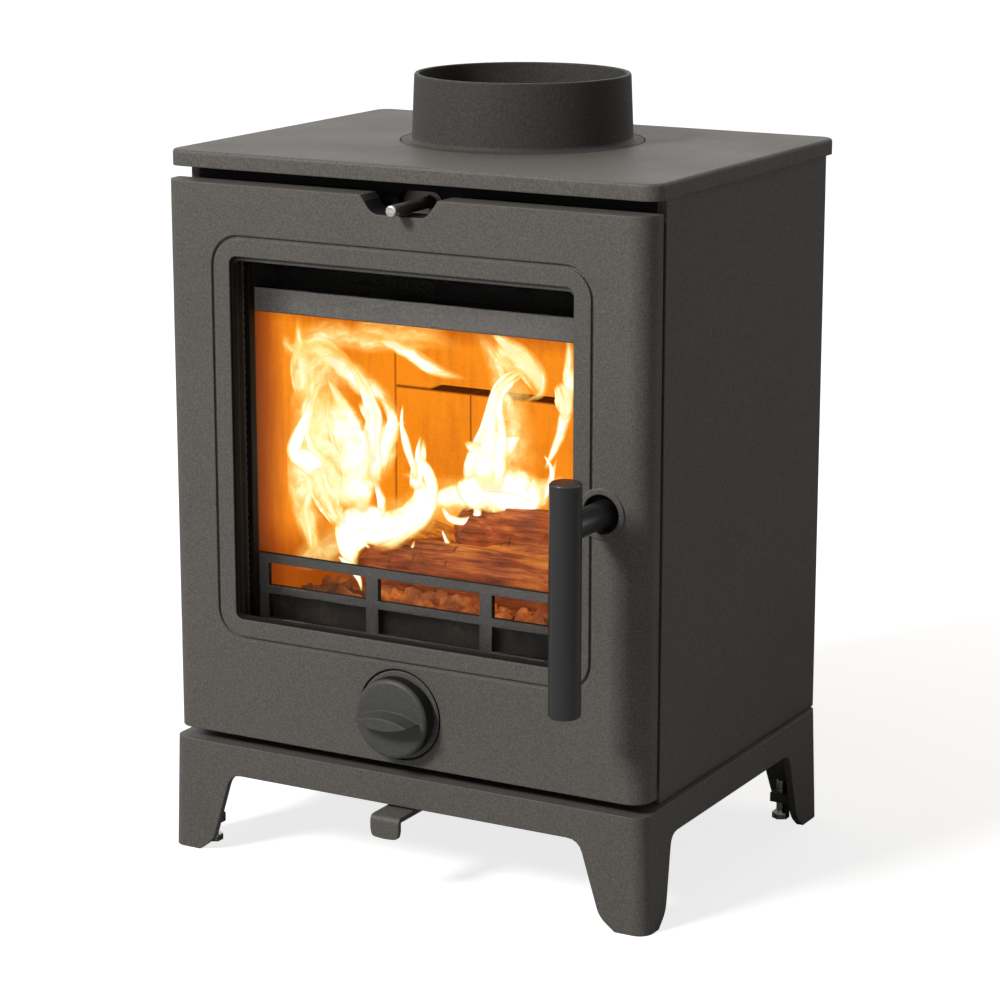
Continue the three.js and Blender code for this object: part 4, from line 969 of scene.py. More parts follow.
@dataclass(frozen=True)
class FlameLight:
    """Licking flame on ribbons, whose map and attributes say where along and across a tongue it is.

    The attributes are warmth, how hot the tongue is, rim, how hollow it is, and share, the part of
    its length that is passed.
    """

    name: str
    brightness: float = 1.2
    tints: tuple[tuple[float, Colour], ...] = (
        (0.0, linear(250, 146, 34)),
        (0.16, linear(254, 184, 78)),
        (0.32, linear(255, 222, 140)),
        (0.5, linear(255, 245, 204)),
        (0.72, linear(255, 255, 246)),
    )

    def build(self) -> bpy.types.Material:
        """Makes the material: colour and cover by the flame's density, with clear air around it.

        Returns:
            The material.
        """
        material, tree, shader = new_material(self.name)
        flow = tree.axes(tree.add("ShaderNodeUVMap", uv_map="flow").outputs["UV"])
        warmth, rim, share = (
            tree.add("ShaderNodeAttribute", attribute_name=name).outputs["Fac"]
            for name in FLAME_VALUES
        )
        across = tree.math("MULTIPLY_ADD", flow["X"], 2.0, -1.0)
        bent = self.bent(tree, across)
        strand = tree.add("ShaderNodeCombineXYZ")
        tree.feed(
            strand,
            X=tree.math("MULTIPLY", bent, 2.4),
            Y=tree.math("MULTIPLY", flow["Y"], 1.8),
            Z=tree.math("MULTIPLY", warmth, 9.0),
        )
        strands = tree.noise(strand.outputs[0], 1.0, 3.0, 0.55, 0.4).outputs["Fac"]
        ends = tree.product(tree.span(share, 0.0, 0.14), tree.span(share, 1.0, 0.62))
        cover = self.profile(tree, across, bent, rim)
        density = tree.product(cover, tree.span(strands, 0.3, 0.66, 0.82, 1.5))
        density = tree.product(density, tree.product(ends, warmth))
        tree.feed(
            shader,
            Base_Color=BLACK,
            Specular_IOR_Level=0.0,
            Roughness=1.0,
            Emission_Color=tree.ramp(density, self.tints),
            Emission_Strength=self.brightness,
            Alpha=tree.span(density, 0.02, 0.42),
        )
        return material

    def bent(self, tree: Tree, across: Socket) -> Socket:
        """Pushes the place across a ribbon about by slow and fast turbulence.

        Args:
            tree: The material's tree.
            across: The place across the ribbon, from -1 to 1.

        Returns:
            The pushed place.
        """
        tall = tree.vector("MULTIPLY", tree.place(), (1.0, 1.0, 0.6))
        slow = tree.math("SUBTRACT", tree.cloud(tall, 40.0, 2.0, 0.5), 0.5)
        fast = tree.math("SUBTRACT", tree.cloud(tall, 130.0, 3.0, 0.6), 0.5)
        push = tree.math("MULTIPLY_ADD", slow, 1.1, tree.math("MULTIPLY", fast, 0.5))
        return tree.math("ADD", across, push)

    def profile(self, tree: Tree, across: Socket, bent: Socket, rim: Socket) -> Socket:
        """How dense the flame is across a ribbon: full in the middle, or hollow with a bright rim.

        Args:
            tree: The material's tree.
            across: The place across the ribbon, from -1 to 1.
            bent: The same place, pushed about.
            rim: How hollow the tongue is.

        Returns:
            The density, from 0 to a little over 1.
        """
        away = tree.math("ABSOLUTE", bent)
        edge = tree.span(tree.math("ABSOLUTE", across), 1.0, 0.8)
        crest = tree.math("MULTIPLY", tree.span(tree.distance(away, 0.66), 0.3, 0.0), 0.85)
        hollow = tree.math("ADD", crest, tree.span(away, 0.98, 0.6, 0.0, 0.46))
        profile = tree.add("ShaderNodeMix", data_type="FLOAT")
        tree.put(profile.inputs[0], rim)
        tree.put(profile.inputs[2], tree.product(tree.span(away, 1.0, 0.05), edge))
        tree.put(profile.inputs[3], tree.product(hollow, edge))
        return profile.outputs[0]


DOOR_FACE = -103.1 * MM
# Behind these planes the castings are darkened: soot and painted shade in the door's jambs, notch,
# handle well and knob groove, and on the guard; painted shade inside the airwash duct.
DOOR_SOOT_AND_SHADE_FROM = DOOR_FACE + 0.3 * MM
GUARD_SOOT_AND_SHADE_FROM = -67.9 * MM
DUCT_SHADE_FROM = -69.2 * MM
KNOB_DARK_AND_SHADE_FROM = -112.9 * MM
PANE_LIT_ABOVE = 379 * MM
HANDLE_WELL = (136.7 * MM, 253.3 * MM, 0.0, 11.9 * MM)
KNOB_GROOVE = (0.0, 111.6 * MM, 27.2 * MM, 29.0 * MM)
PANE_AREA = (-124 * MM, 124 * MM, 150 * MM, 389.5 * MM)
NOTCH_AREA = (-22 * MM, 25 * MM, 412 * MM, 430 * MM)

PAINT = SprayedPaint("heat_paint", linear(93, 90, 86))
PAINT_DOOR = replace(
    PAINT,
    name="heat_paint_door",
    soot=SootAndShade(DOOR_SOOT_AND_SHADE_FROM, (PANE_AREA, NOTCH_AREA), (HANDLE_WELL, KNOB_GROOVE), PANE_LIT_ABOVE),
)
PAINT_GUARD = replace(
    PAINT, name="heat_paint_guard", base=linear(74, 72, 69), soot=SootAndShade(GUARD_SOOT_AND_SHADE_FROM)
)
PAINT_DUCT = replace(PAINT, name="heat_paint_duct", soot=SootAndShade(DUCT_SHADE_FROM))
# A darker copy of the stove paint for the flue collar: painted shade.
PAINT_SHADED = SprayedPaint("heat_paint_shaded", linear(74, 72, 69), wear=0.25, gloss=0.12)
# Near-black paint for the front frame: soot and painted shade inside the firebox mouth.
PAINT_SOOT_AND_SHADE = SprayedPaint("heat_paint_soot_and_shade", linear(15, 14, 13), wear=0.06, gloss=0.1)
POWDER = SprayedPaint(
    "powder_coat",
    linear(36, 36, 37),
    grain=1500.0,
    contrast=0.12,
    depth=0.1,
    roughness=(0.27, 0.33),
    wear=0.15,
    ash=0.0,
    gloss=0.55,
)
# The knob's side behind its face is near black: its dark edge and painted shade.
KNOB = SprayedPaint(
    "knob_coat",
    linear(74, 74, 71),
    contrast=0.24,
    depth=0.2,
    roughness=(0.42, 0.5),
    wear=0.2,
    ash=0.0,
    soot=SootAndShade(KNOB_DARK_AND_SHADE_FROM),
)
BRIGHT = DrawnSteel("bright_steel", linear(205, 204, 200), (0.22, 0.38))
SHEET = DrawnSteel("sheet_steel", linear(132, 130, 126), (0.38, 0.6), metallic=0.85)
BARE = HotIron("hot_iron", linear(38, 36, 34))
BRICK = FireBrick("fire_brick")
GLASS = StoveGlass("stove_glass")
BRAID = Braid("glass_rope")
GASKET = Braid("glass_tape", linear(26, 25, 23))
FLAME = FlameLight("flame")
COAL = Coal("glowing_coal")

COATS: dict[Coat, Finish] = {
    Coat.PAINT: PAINT,
    Coat.PAINT_DOOR: PAINT_DOOR,
    Coat.PAINT_GUARD: PAINT_GUARD,
    Coat.PAINT_DUCT: PAINT_DUCT,
    Coat.PAINT_SHADED: PAINT_SHADED,
    Coat.PAINT_SOOT_AND_SHADE: PAINT_SOOT_AND_SHADE,
    Coat.POWDER: POWDER,
    Coat.KNOB: KNOB,
    Coat.BRIGHT: BRIGHT,
    Coat.SHEET: SHEET,
    Coat.BARE: BARE,
    Coat.BRICK: BRICK,
    Coat.GLASS: GLASS,
}


@dataclass
class Shop:
    """Keeps each finish's material, so that one is made only once."""

    shelf: dict[str, bpy.types.Material] = field(default_factory=dict)

    def take(self, finish: Finish) -> bpy.types.Material:
        """The finish's material.

        Args:
            finish: Any finish.

        Returns:
            Its material, the same one each time.
        """
        if finish.name not in self.shelf:
            self.shelf[finish.name] = finish.build()
        return self.shelf[finish.name]


SHOP = Shop()


# ------------------------------------------------------------------ pieces


def in_scene(name: str, data: bpy.types.ID) -> bpy.types.Object:
    """Puts an object in the scene.

    Args:
        name: The object's name.
        data: Its mesh, curve, lamp or camera.

    Returns:
        The object.
    """
    thing = bpy.data.objects.new(name, data)
    bpy.context.scene.collection.objects.link(thing)
    return thing


def paint(piece: bpy.types.Object, finish: Finish) -> None:
    """Gives a piece one finish, and no other."""
    piece.data.materials.clear()
    piece.data.materials.append(SHOP.take(finish))


def add_piece(name: str, mesh: bpy.types.Mesh, body: Body, finish: Finish) -> bpy.types.Object:
    """Puts a mesh in the scene as a finished piece on a body.

    Args:
        name: The piece's name.
        mesh: Its mesh, in the model's frame.
        body: The body it moves with.
        finish: Its finish.

    Returns:
        The new object.
    """
    piece = in_scene(name, mesh)
    paint(piece, finish)
    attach(piece, body.value)
    LOG.info("%s: %d faces on %s", name, len(mesh.polygons), body.value)
    return piece


def applied(piece: bpy.types.Object) -> bpy.types.Mesh:
    """Makes a plain mesh of a piece and its modifiers, and takes the piece away.

    Args:
        piece: The piece.

    Returns:
        The mesh.
    """
    bpy.context.view_layer.update()
    graph = bpy.context.evaluated_depsgraph_get()
    mesh = bpy.data.meshes.new_from_object(
        piece.evaluated_get(graph), preserve_all_data_layers=True, depsgraph=graph
    )
    bpy.data.objects.remove(piece)
    return mesh


def merged(mesh: bpy.types.Mesh, reach: float, flat: float) -> bmesh.types.BMesh:
    """A mesh opened for work, its points merged and its flat faces made one.

    Args:
        mesh: The mesh.
        reach: Points nearer than this are merged.
        flat: Faces that turn by less than this many degrees become one.

    Returns:
        The opened mesh, which the caller closes.
    """
    work = bmesh.new()
    work.from_mesh(mesh)
    bmesh.ops.remove_doubles(work, verts=work.verts, dist=reach)
    limit = math.radians(flat)
    bmesh.ops.dissolve_limit(work, angle_limit=limit, verts=work.verts, edges=work.edges)
    return work


def smooth_copy(node: str, angle: float = 34.0) -> bpy.types.Mesh:
    """A copy of a CAD node's mesh with its round faces shaded smooth and its flat ones flat.

    Args:
        node: The CAD node.
        angle: Edges that turn by more than this many degrees stay sharp.

    Returns:
        The copied mesh.
    """
    mesh = frame["nodes"][node].data.copy()
    work = merged(mesh, 0.002 * MM, 0.4)
    limit = math.radians(angle)
    for face in work.faces:
        face.smooth = True
    for edge in work.edges:
        edge.smooth = len(edge.link_faces) == 2 and edge.calc_face_angle(0.0) < limit
    work.to_mesh(mesh)
    work.free()
    carrier = in_scene("carrier", mesh)
    weighted = carrier.modifiers.new("weighted", "WEIGHTED_NORMAL")
    weighted.mode = "FACE_AREA"
    weighted.keep_sharp = True
    return applied(carrier)


SIDES = ("left", "right")
CORNERS = tuple(f"{end}_{side}" for end in ("front", "rear") for side in SIDES)


@dataclass
class Castings:
    """The plain and round CAD nodes with their finishes; round ones get smooth copies."""

    flat: dict[str, Coat] = field(
        default_factory=lambda: {
            "side_panel_left": Coat.PAINT,
            "side_panel_right": Coat.PAINT,
            "rear_panel": Coat.PAINT,
            "floor_plate": Coat.BARE,
            "door_glass": Coat.GLASS,
            **{f"glass_clip_{number}": Coat.SHEET for number in range(1, 5)},
            "airwash_slide": Coat.SHEET,
            "airwash_duct": Coat.PAINT_DUCT,
            "grate_frame": Coat.BARE,
            "grate": Coat.BARE,
            "log_guard": Coat.PAINT_GUARD,
            "ash_pan": Coat.SHEET,
            "riddle_plate": Coat.BARE,
            "lever_stirrup": Coat.BARE,
            **{f"side_brick_{side}": Coat.BRICK for side in SIDES},
            **{f"back_brick_{place}": Coat.BRICK for place in ("left", "centre", "right", "upper")},
            "baffle_plate": Coat.BRICK,
        }
    )
    round: dict[str, Coat] = field(
        default_factory=lambda: {
            "base_frame": Coat.PAINT,
            "top_plate": Coat.PAINT,
            "flue_collar": Coat.PAINT_SHADED,
            "front_frame": Coat.PAINT_SOOT_AND_SHADE,
            "door_casting": Coat.PAINT_DOOR,
            "handle_bar": Coat.POWDER,
            "handle_stem": Coat.POWDER,
            "latch_tongue": Coat.SHEET,
            "latch_nut": Coat.SHEET,
            "latch_keeper": Coat.SHEET,
            "air_knob": Coat.KNOB,
            "air_shutter": Coat.SHEET,
            "air_shutter_nut": Coat.SHEET,
            "airwash_rod": Coat.BARE,
            "airwash_tip": Coat.BRIGHT,
            "riddling_lever": Coat.PAINT,
            "riddle_bolt": Coat.SHEET,
            "riddle_nut": Coat.SHEET,
            "hinge_pin_lower": Coat.BRIGHT,
            "hinge_pin_upper": Coat.BRIGHT,
            **{f"collar_bolt_{number}": Coat.SHEET for number in range(1, 4)},
            **{f"levelling_bolt_{corner}": Coat.BRIGHT for corner in CORNERS},
            **{f"tie_bolt_{corner}": Coat.SHEET for corner in CORNERS},
        }
    )

    def build(self) -> None:
        """Dresses the flat nodes and replaces the round ones by smooth copies."""
        for node, coat in self.flat.items():
            paint(frame["nodes"][node], COATS[coat])
        for node, coat in self.round.items():
            body = Body(frame["nodes"][node]["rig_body"])
            piece = add_piece(node + "_finished", smooth_copy(node), body, COATS[coat])
            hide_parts(node)


# ------------------------------------------------------------------ the door's seal


@dataclass
class DoorSeal:
    """The twisted rope that runs round behind the door, and the flat gasket of its glass."""

    strand: float = 1.35 * MM
    turns: float = 74.0
    corner: float = 16 * MM
    corner_steps: int = 8
    inset: float = 3.1 * MM
    behind: float = 3.4 * MM

    def rope_path(self) -> list[Vector]:
        """The rope's middle line.

        Returns:
            The points of a rounded rectangle in the plane of the door.
        """
        low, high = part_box("door_rope_seal")
        half = (high.x - low.x) / 2
        y = high.y - self.behind
        right, left = half - self.inset - self.corner, -half + self.inset + self.corner
        foot, top = low.z + self.inset + self.corner, high.z - self.inset - self.corner
        corners = ((right, foot, -90), (right, top, 0), (left, top, 90), (left, foot, 180))
        points: list[Vector] = []
        for x, z, start in corners:
            for step in range(self.corner_steps + 1):
                angle = math.radians(start + step * 90 / self.corner_steps)
                out, up = self.corner * math.cos(angle), self.corner * math.sin(angle)
                points.append(Vector((x + out, y, z + up)))
        return points

    def build(self) -> None:
        """Makes the rope from three twisted strands, and dresses the gasket."""
        line = bpy.data.curves.new("rope_line", "CURVE")
        line.dimensions = "3D"
        spline = line.splines.new("POLY")
        path = self.rope_path()
        spline.points.add(len(path) - 1)
        for point, place in zip(spline.points, path):
            point.co = (*place, 1.0)
        spline.use_cyclic_u = True
        carrier = in_scene("rope_carrier", line)
        inputs = {"Strand Radius": self.strand, "Turns": self.turns, "Material": SHOP.take(BRAID)}
        grow(carrier, "rope", rope_tree(self.strand), inputs)
        rope = add_piece("door_rope", applied(carrier), Body.DOOR, BRAID)
        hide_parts("door_rope_seal")
        paint(frame["nodes"]["glass_gasket"], GASKET)


def grow(
    carrier: bpy.types.Object, name: str, tree: bpy.types.NodeTree, inputs: dict[str, object]
) -> None:
    """Gives an object a Geometry Nodes modifier.

    Args:
        carrier: The object.
        name: The modifier's name.
        tree: Its tree.
        inputs: The value of each named input that isn't left as it usually is.
    """
    modifier = carrier.modifiers.new(name, "NODES")
    modifier.node_group = tree
    for label, value in inputs.items():
        set_input(modifier, label, value)


def set_input(modifier: bpy.types.Modifier, label: str, value: object) -> None:
    """Sets a Geometry Nodes modifier's input by its label.

    Args:
        modifier: The modifier, with its tree.
        label: The input's name in the tree.
        value: The value to give it.
    """
    for item in modifier.node_group.interface.items_tree:
        if item.item_type == "SOCKET" and item.in_out == "INPUT" and item.name == label:
            modifier[item.identifier] = value
            return
    raise ValueError(label)


def geometry_tree(name: str, inputs: SocketList) -> tuple[Tree, Node, Node]:
    """Starts a Geometry Nodes tree with a geometry input and output.

    Args:
        name: The tree's name.
        inputs: Name, socket kind and usual value of each further input.

    Returns:
        The tree, its input node and its output node.
    """
    geometry = ("Geometry", "NodeSocketGeometry")
    return node_group("GeometryNodeTree", name, [(*geometry, None), *inputs], [geometry])


def end_tree(tree: Tree, start: Node, end: Node, geometry: Socket) -> bpy.types.NodeTree:
    """Ends a tree with real, coated geometry.

    Args:
        tree: The tree.
        start: Its input node, which has a Material output.
        end: Its output node.
        geometry: What the tree has made.

    Returns:
        The finished tree.
    """
    real = tree.feed(tree.add("GeometryNodeRealizeInstances"), Geometry=geometry)
    coated = tree.feed(
        tree.add("GeometryNodeSetMaterial"),
        Geometry=real.outputs["Geometry"],
        Material=start.outputs["Material"],
    )
    tree.feed(end, Geometry=coated.outputs["Geometry"])
    return tree.nodes


def rope_tree(
    strand: float, strands: int = 3, steps: int = 1300, sides: int = 8, swell: float = 1.22
) -> bpy.types.NodeTree:
    """Twisted strands along a curve.

    Args:
        strand: The usual radius of the circle that a strand winds on.
        strands: How many strands there are.
        steps: How many points the whole line has.
        sides: How many sides a strand has.
        swell: A strand's own radius, as a factor on that of its circle.

    Returns:
        The tree: it winds each strand round the curve and skins it.
    """
    tree, start, end = geometry_tree(
        "twisted_rope",
        [
            ("Strand Radius", "NodeSocketFloat", strand),
            ("Turns", "NodeSocketFloat", 70.0),
            ("Material", "NodeSocketMaterial", None),
        ],
    )
    radius = start.outputs["Strand Radius"]
    even = tree.feed(
        tree.add("GeometryNodeResampleCurve"), Curve=start.outputs["Geometry"], Count=steps
    )
    joined = tree.add("GeometryNodeJoinGeometry")
    along = tree.add("GeometryNodeSplineParameter").outputs["Factor"]
    turn = tree.math("MULTIPLY", along, tree.math("MULTIPLY", start.outputs["Turns"], math.tau))
    tangent = tree.add("GeometryNodeInputTangent").outputs["Tangent"]
    side = tree.vector("CROSS_PRODUCT", tangent, (0.0, 1.0, 0.0))
    for number in range(strands):
        angle = tree.math("ADD", turn, number * math.tau / strands)
        out = tree.vector("SCALE", side, tree.math("MULTIPLY", tree.math("COSINE", angle), radius))
        deep = tree.feed(
            tree.add("ShaderNodeCombineXYZ"),
            Y=tree.math("MULTIPLY", tree.math("SINE", angle), radius),
        )
        moved = tree.feed(
            tree.add("GeometryNodeSetPosition"),
            Geometry=even.outputs["Curve"],
            Offset=tree.vector("ADD", out, deep.outputs["Vector"]),
        )
        ring = tree.feed(
            tree.add("GeometryNodeCurvePrimitiveCircle"),
            Resolution=sides,
            Radius=tree.math("MULTIPLY", radius, swell),
        )
        skin = tree.feed(
            tree.add("GeometryNodeCurveToMesh"),
            Curve=moved.outputs["Geometry"],
            Profile_Curve=ring.outputs["Curve"],
        )
        tree.put(joined.inputs["Geometry"], skin.outputs["Mesh"])
    smooth = tree.feed(tree.add("GeometryNodeSetShadeSmooth"), Geometry=joined.outputs["Geometry"])
    return end_tree(tree, start, end, smooth.outputs["Geometry"])


# ------------------------------------------------------------------ the fire


@dataclass(frozen=True)
class Tongue:
    """One lick of flame: how hot it is, how hollow, and its line.

    The line's points are (x, y, z, half width) in millimetres.
    """

    heat: float
    rim: float
    path: tuple[tuple[float, float, float, float], ...]
    thinnest: float = 0.2

    def at(self, step: float) -> tuple[Vector, float]:
        """A place on the smooth line through the path.

        Args:
            step: How far along, in whole and part steps.

        Returns:
            The place in metres and the half width there.
        """
        last = len(self.path) - 1
        first = min(int(step), last - 1)
        part = step - first
        points = [self.path[min(max(first + k, 0), last)] for k in (-1, 0, 1, 2)]

        def curve(axis: int) -> float:
            """One coordinate of a smooth cubic line through the four points about the step."""
            a, b, c, d = (point[axis] for point in points)
            square, cube = part * part, part * part * part
            bend, twist = 2 * a - 5 * b + 4 * c - d, 3 * b - a - 3 * c + d
            return 0.5 * (2 * b + (c - a) * part + bend * square + twist * cube)

        return Vector((curve(0), curve(1), curve(2))) * MM, max(curve(3), self.thinnest) * MM


TONGUES: tuple[Tongue, ...] = (
    Tongue(0.55, 0.75, (
        (-83, -22, 208, 14.0), (-85, -23, 228, 24.6), (-89, -25, 248, 28.1), (-93, -28, 263, 29.3),
        (-95, -29, 278, 23.4), (-95, -29, 289, 13.1), (-94, -29, 297, 1.9)
    )),
    Tongue(1.0, 0.0, (
        (-80, -20, 215, 9.4), (-91, -27, 233, 10.8), (-105, -35, 243, 9.4), (-113, -40, 250, 7.0),
        (-112, -39, 260, 5.6), (-106, -36, 275, 4.2), (-101, -33, 289, 3.7), (-95, -29, 299, 1.4)
    )),
    Tongue(1.0, 0.0, (
        (-75, -16, 210, 9.4), (-79, -19, 231, 13.1), (-81, -21, 248, 10.8), (-83, -22, 263, 8.0),
        (-87, -25, 280, 5.6), (-92, -28, 292, 3.3), (-95, -30, 299, 0.9)
    )),
    Tongue(0.75, 0.4, (
        (-69, -13, 225, 6.1), (-71, -14, 243, 8.0), (-72, -15, 258, 8.0), (-71, -14, 272, 7.5),
        (-74, -16, 287, 6.1), (-79, -20, 301, 4.2), (-88, -25, 313, 1.4)
    )),
    Tongue(0.9, 0.0, (
        (-69, -13, 233, 4.7), (-66, -11, 248, 6.6), (-62, -9, 261, 6.6), (-60, -8, 270, 5.2),
        (-63, -10, 278, 3.7), (-69, -13, 287, 1.4)
    )),
    Tongue(0.7, 0.0, (
        (-65, -11, 248, 3.3), (-60, -8, 259, 4.7), (-58, -7, 267, 3.3), (-53, -3, 269, 0.7)
    )),
    Tongue(0.4, 0.5, (
        (-107, -37, 280, 5.2), (-107, -37, 298, 12.2), (-104, -35, 311, 14.5), (-97, -31, 318, 9.4),
        (-88, -25, 312, 4.7), (-78, -19, 301, 1.4)
    )),
    Tongue(0.32, 0.0, (
        (-113, -41, 304, 2.3), (-109, -38, 317, 6.1), (-109, -39, 329, 4.2), (-110, -40, 338, 1.2)
    )),
    Tongue(0.5, 0.5, (
        (-89, -25, 201, 5.6), (-93, -28, 215, 12.2), (-99, -31, 228, 12.6), (-102, -33, 239, 9.4),
        (-107, -36, 248, 2.3)
    )),
    Tongue(0.4, 0.3, (
        (-104, -34, 185, 2.8), (-105, -35, 200, 7.0), (-108, -36, 212, 6.1), (-109, -38, 221, 1.4)
    )),
    Tongue(1.15, 0.0, (
        (-81, -20, 172, 2.3), (-85, -22, 186, 9.4), (-82, -21, 198, 15.5), (-75, -16, 202, 15.5),
        (-66, -11, 200, 13.6), (-57, -6, 203, 11.7), (-50, -1, 209, 10.8), (-44, 2, 218, 9.8),
        (-44, 3, 227, 8.9), (-48, 0, 234, 5.6), (-57, -6, 236, 1.4)
    )),
    Tongue(0.95, 0.0, (
        (-80, -20, 218, 2.8), (-78, -18, 210, 3.7), (-72, -15, 206, 3.7), (-67, -12, 210, 4.2),
        (-67, -11, 218, 4.2), (-69, -13, 228, 3.3), (-72, -15, 238, 2.1), (-74, -16, 246, 0.7)
    )),
    Tongue(0.85, 0.2, (
        (-48, 0, 225, 6.1), (-47, 1, 239, 6.1), (-45, 2, 249, 3.7), (-44, 2, 259, 0.7)
    )),
    Tongue(1.15, 0.0, (
        (-25, 14, 231, 6.1), (-17, 19, 226, 15.0), (-6, 25, 226, 18.7), (5, 32, 224, 19.7),
        (13, 37, 220, 14.0), (16, 39, 228, 8.0), (9, 35, 237, 2.8)
    )),
    Tongue(0.8, 0.55, (
        (-10, 23, 222, 16.4), (-11, 22, 237, 16.9), (-8, 24, 249, 15.5), (-6, 26, 262, 12.2),
        (-6, 26, 274, 8.4), (-4, 27, 287, 6.1), (2, 30, 296, 5.6), (8, 34, 301, 4.2),
        (8, 34, 310, 1.2)
    )),
    Tongue(0.6, 0.2, ((-8, 24, 243, 5.6), (-16, 20, 252, 6.6), (-22, 15, 256, 1.4))),
    Tongue(0.8, 0.0, ((-5, 26, 247, 5.2), (3, 31, 254, 7.0), (9, 35, 259, 1.2))),
    Tongue(0.62, 0.0, (
        (-68, -13, 322, 1.2), (-59, -8, 318, 4.2), (-51, -2, 313, 6.1), (-41, 4, 305, 6.6),
        (-30, 10, 300, 4.7), (-19, 18, 296, 0.9)
    )),
    Tongue(0.25, 0.3, (
        (-82, -22, 330, 4.7), (-61, -9, 326, 12.6), (-41, 4, 324, 12.6), (-27, 13, 315, 3.3)
    )),
    Tongue(0.42, 0.4, (
        (-5, 26, 320, 4.7), (4, 32, 311, 13.1), (13, 37, 302, 10.8), (18, 40, 290, 6.6),
        (20, 42, 283, 1.2)
    )),
    Tongue(0.5, 0.4, (
        (28, 46, 293, 3.7), (34, 46, 285, 9.4), (35, 46, 275, 7.0), (32, 46, 268, 1.2)
    )),
    Tongue(0.6, 0.0, ((-54, -4, 167, 1.9), (-52, -2, 181, 3.0), (-49, -1, 193, 0.7))),
    Tongue(0.6, 0.0, ((-23, 15, 171, 1.4), (-28, 12, 183, 4.2), (-34, 9, 196, 0.9))),
    Tongue(1.0, 0.0, ((-6, 25, 164, 3.3), (-8, 24, 174, 6.1), (-10, 23, 185, 0.9))),
    Tongue(0.8, 0.0, ((-10, 23, 194, 1.4), (-5, 26, 202, 4.2), (-1, 28, 214, 1.2))),
    Tongue(0.7, 0.0, ((12, 36, 167, 1.9), (19, 40, 173, 5.2), (23, 43, 182, 0.9))),
    Tongue(0.6, 0.0, ((1, 30, 197, 1.9), (3, 31, 208, 5.2), (5, 32, 220, 1.4))),
    Tongue(0.6, 0.0, ((19, 41, 214, 5.2), (25, 44, 229, 3.7), (28, 46, 246, 0.7))),
    Tongue(0.75, 0.0, (
        (-35, 8, 215, 1.9), (-29, 11, 206, 3.7), (-21, 17, 204, 3.3), (-15, 20, 209, 3.7),
        (-17, 19, 218, 3.3), (-20, 17, 228, 0.9)
    )),
    Tongue(0.34, 0.0, (
        (-108, -23, 177, 7.8), (-113, -26, 216, 16.8), (-107, -23, 262, 25.8),
        (-103, -20, 294, 23.5),
        (-98, -17, 316, 14.6), (-92, -13, 334, 3.4)
    )),
    Tongue(0.5, 0.0, (
        (-111, -29, 322, 3.9), (-96, -20, 309, 9.0), (-81, -11, 294, 11.2), (-69, -3, 283, 8.4),
        (-59, 3, 268, 2.2)
    )),
    Tongue(0.62, 0.0, (
        (-80, -14, 282, 4.5), (-71, -8, 266, 8.4), (-66, -5, 250, 7.8), (-68, -7, 230, 4.5)
    )),
    Tongue(1.0, 0.0, (
        (-44, -1, 261, 0.8), (-45, -2, 248, 3.4), (-40, 1, 236, 5.6), (-38, 2, 222, 6.2),
        (-44, -2, 206, 6.7), (-57, -9, 194, 6.7), (-71, -18, 188, 3.4)
    )),
    Tongue(0.72, 0.0, (
        (-47, 9, 213, 4.5), (-31, 19, 218, 10.1), (-12, 30, 221, 14.6), (7, 42, 220, 14.6),
        (20, 50, 224, 7.8), (29, 56, 233, 1.7)
    )),
    Tongue(0.8, 0.0, ((-32, 4, 200, 0.8), (-27, 7, 187, 2.5), (-20, 11, 175, 0.7))),
    Tongue(0.5, 0.0, (
        (-104, -30, 232, 1.1), (-108, -33, 218, 4.5), (-107, -33, 202, 5.0), (-101, -29, 187, 1.7)
    )),
    Tongue(0.55, 0.0, (
        (-12, 33, 324, 2.8), (1, 41, 312, 8.4), (12, 47, 299, 9.5), (15, 49, 286, 4.5),
        (5, 43, 279, 1.1)
    )),
    Tongue(0.6, 0.0, (
        (18, 49, 235, 1.7), (26, 54, 258, 4.5), (30, 56, 281, 5.6), (31, 57, 306, 5.0),
        (31, 57, 326, 2.2)
    )),
    Tongue(0.26, 0.0, (
        (-119, -34, 175, 7.8), (-105, -13, 185, 16.8), (-67, 10, 201, 20.2), (-29, 34, 213, 22.4),
        (4, 54, 213, 19.0), (27, 68, 209, 11.2)
    )),
    Tongue(0.3, 0.0, (
        (-24, 39, 324, 9.0), (-11, 47, 298, 14.6), (-5, 51, 265, 19.0), (-7, 50, 232, 22.4),
        (-11, 47, 206, 13.4)
    )),
    Tongue(0.8, 0.0, (
        (-54, -6, 281, 0.6), (-55, -6, 268, 2.2), (-52, -5, 254, 3.9), (-48, -2, 238, 3.4),
        (-47, -1, 226, 1.1)
    )),
    Tongue(0.85, 0.0, (
        (-87, -32, 184, 1.1), (-80, -28, 177, 3.9), (-76, -25, 168, 2.2), (-75, -24, 160, 0.6)
    )),
    Tongue(0.8, 0.0, (
        (23, 38, 248, 0.8), (27, 41, 238, 2.2), (25, 39, 224, 2.8), (21, 37, 215, 1.1)
    )),
    Tongue(0.3, 0.0, (
        (-119, -36, 325, 5.6), (-119, -27, 316, 11.2), (-103, -14, 322, 12.3), (-76, 3, 318, 10.1),
        (-49, 19, 319, 9.0), (-28, 33, 310, 4.5)
    )),
)


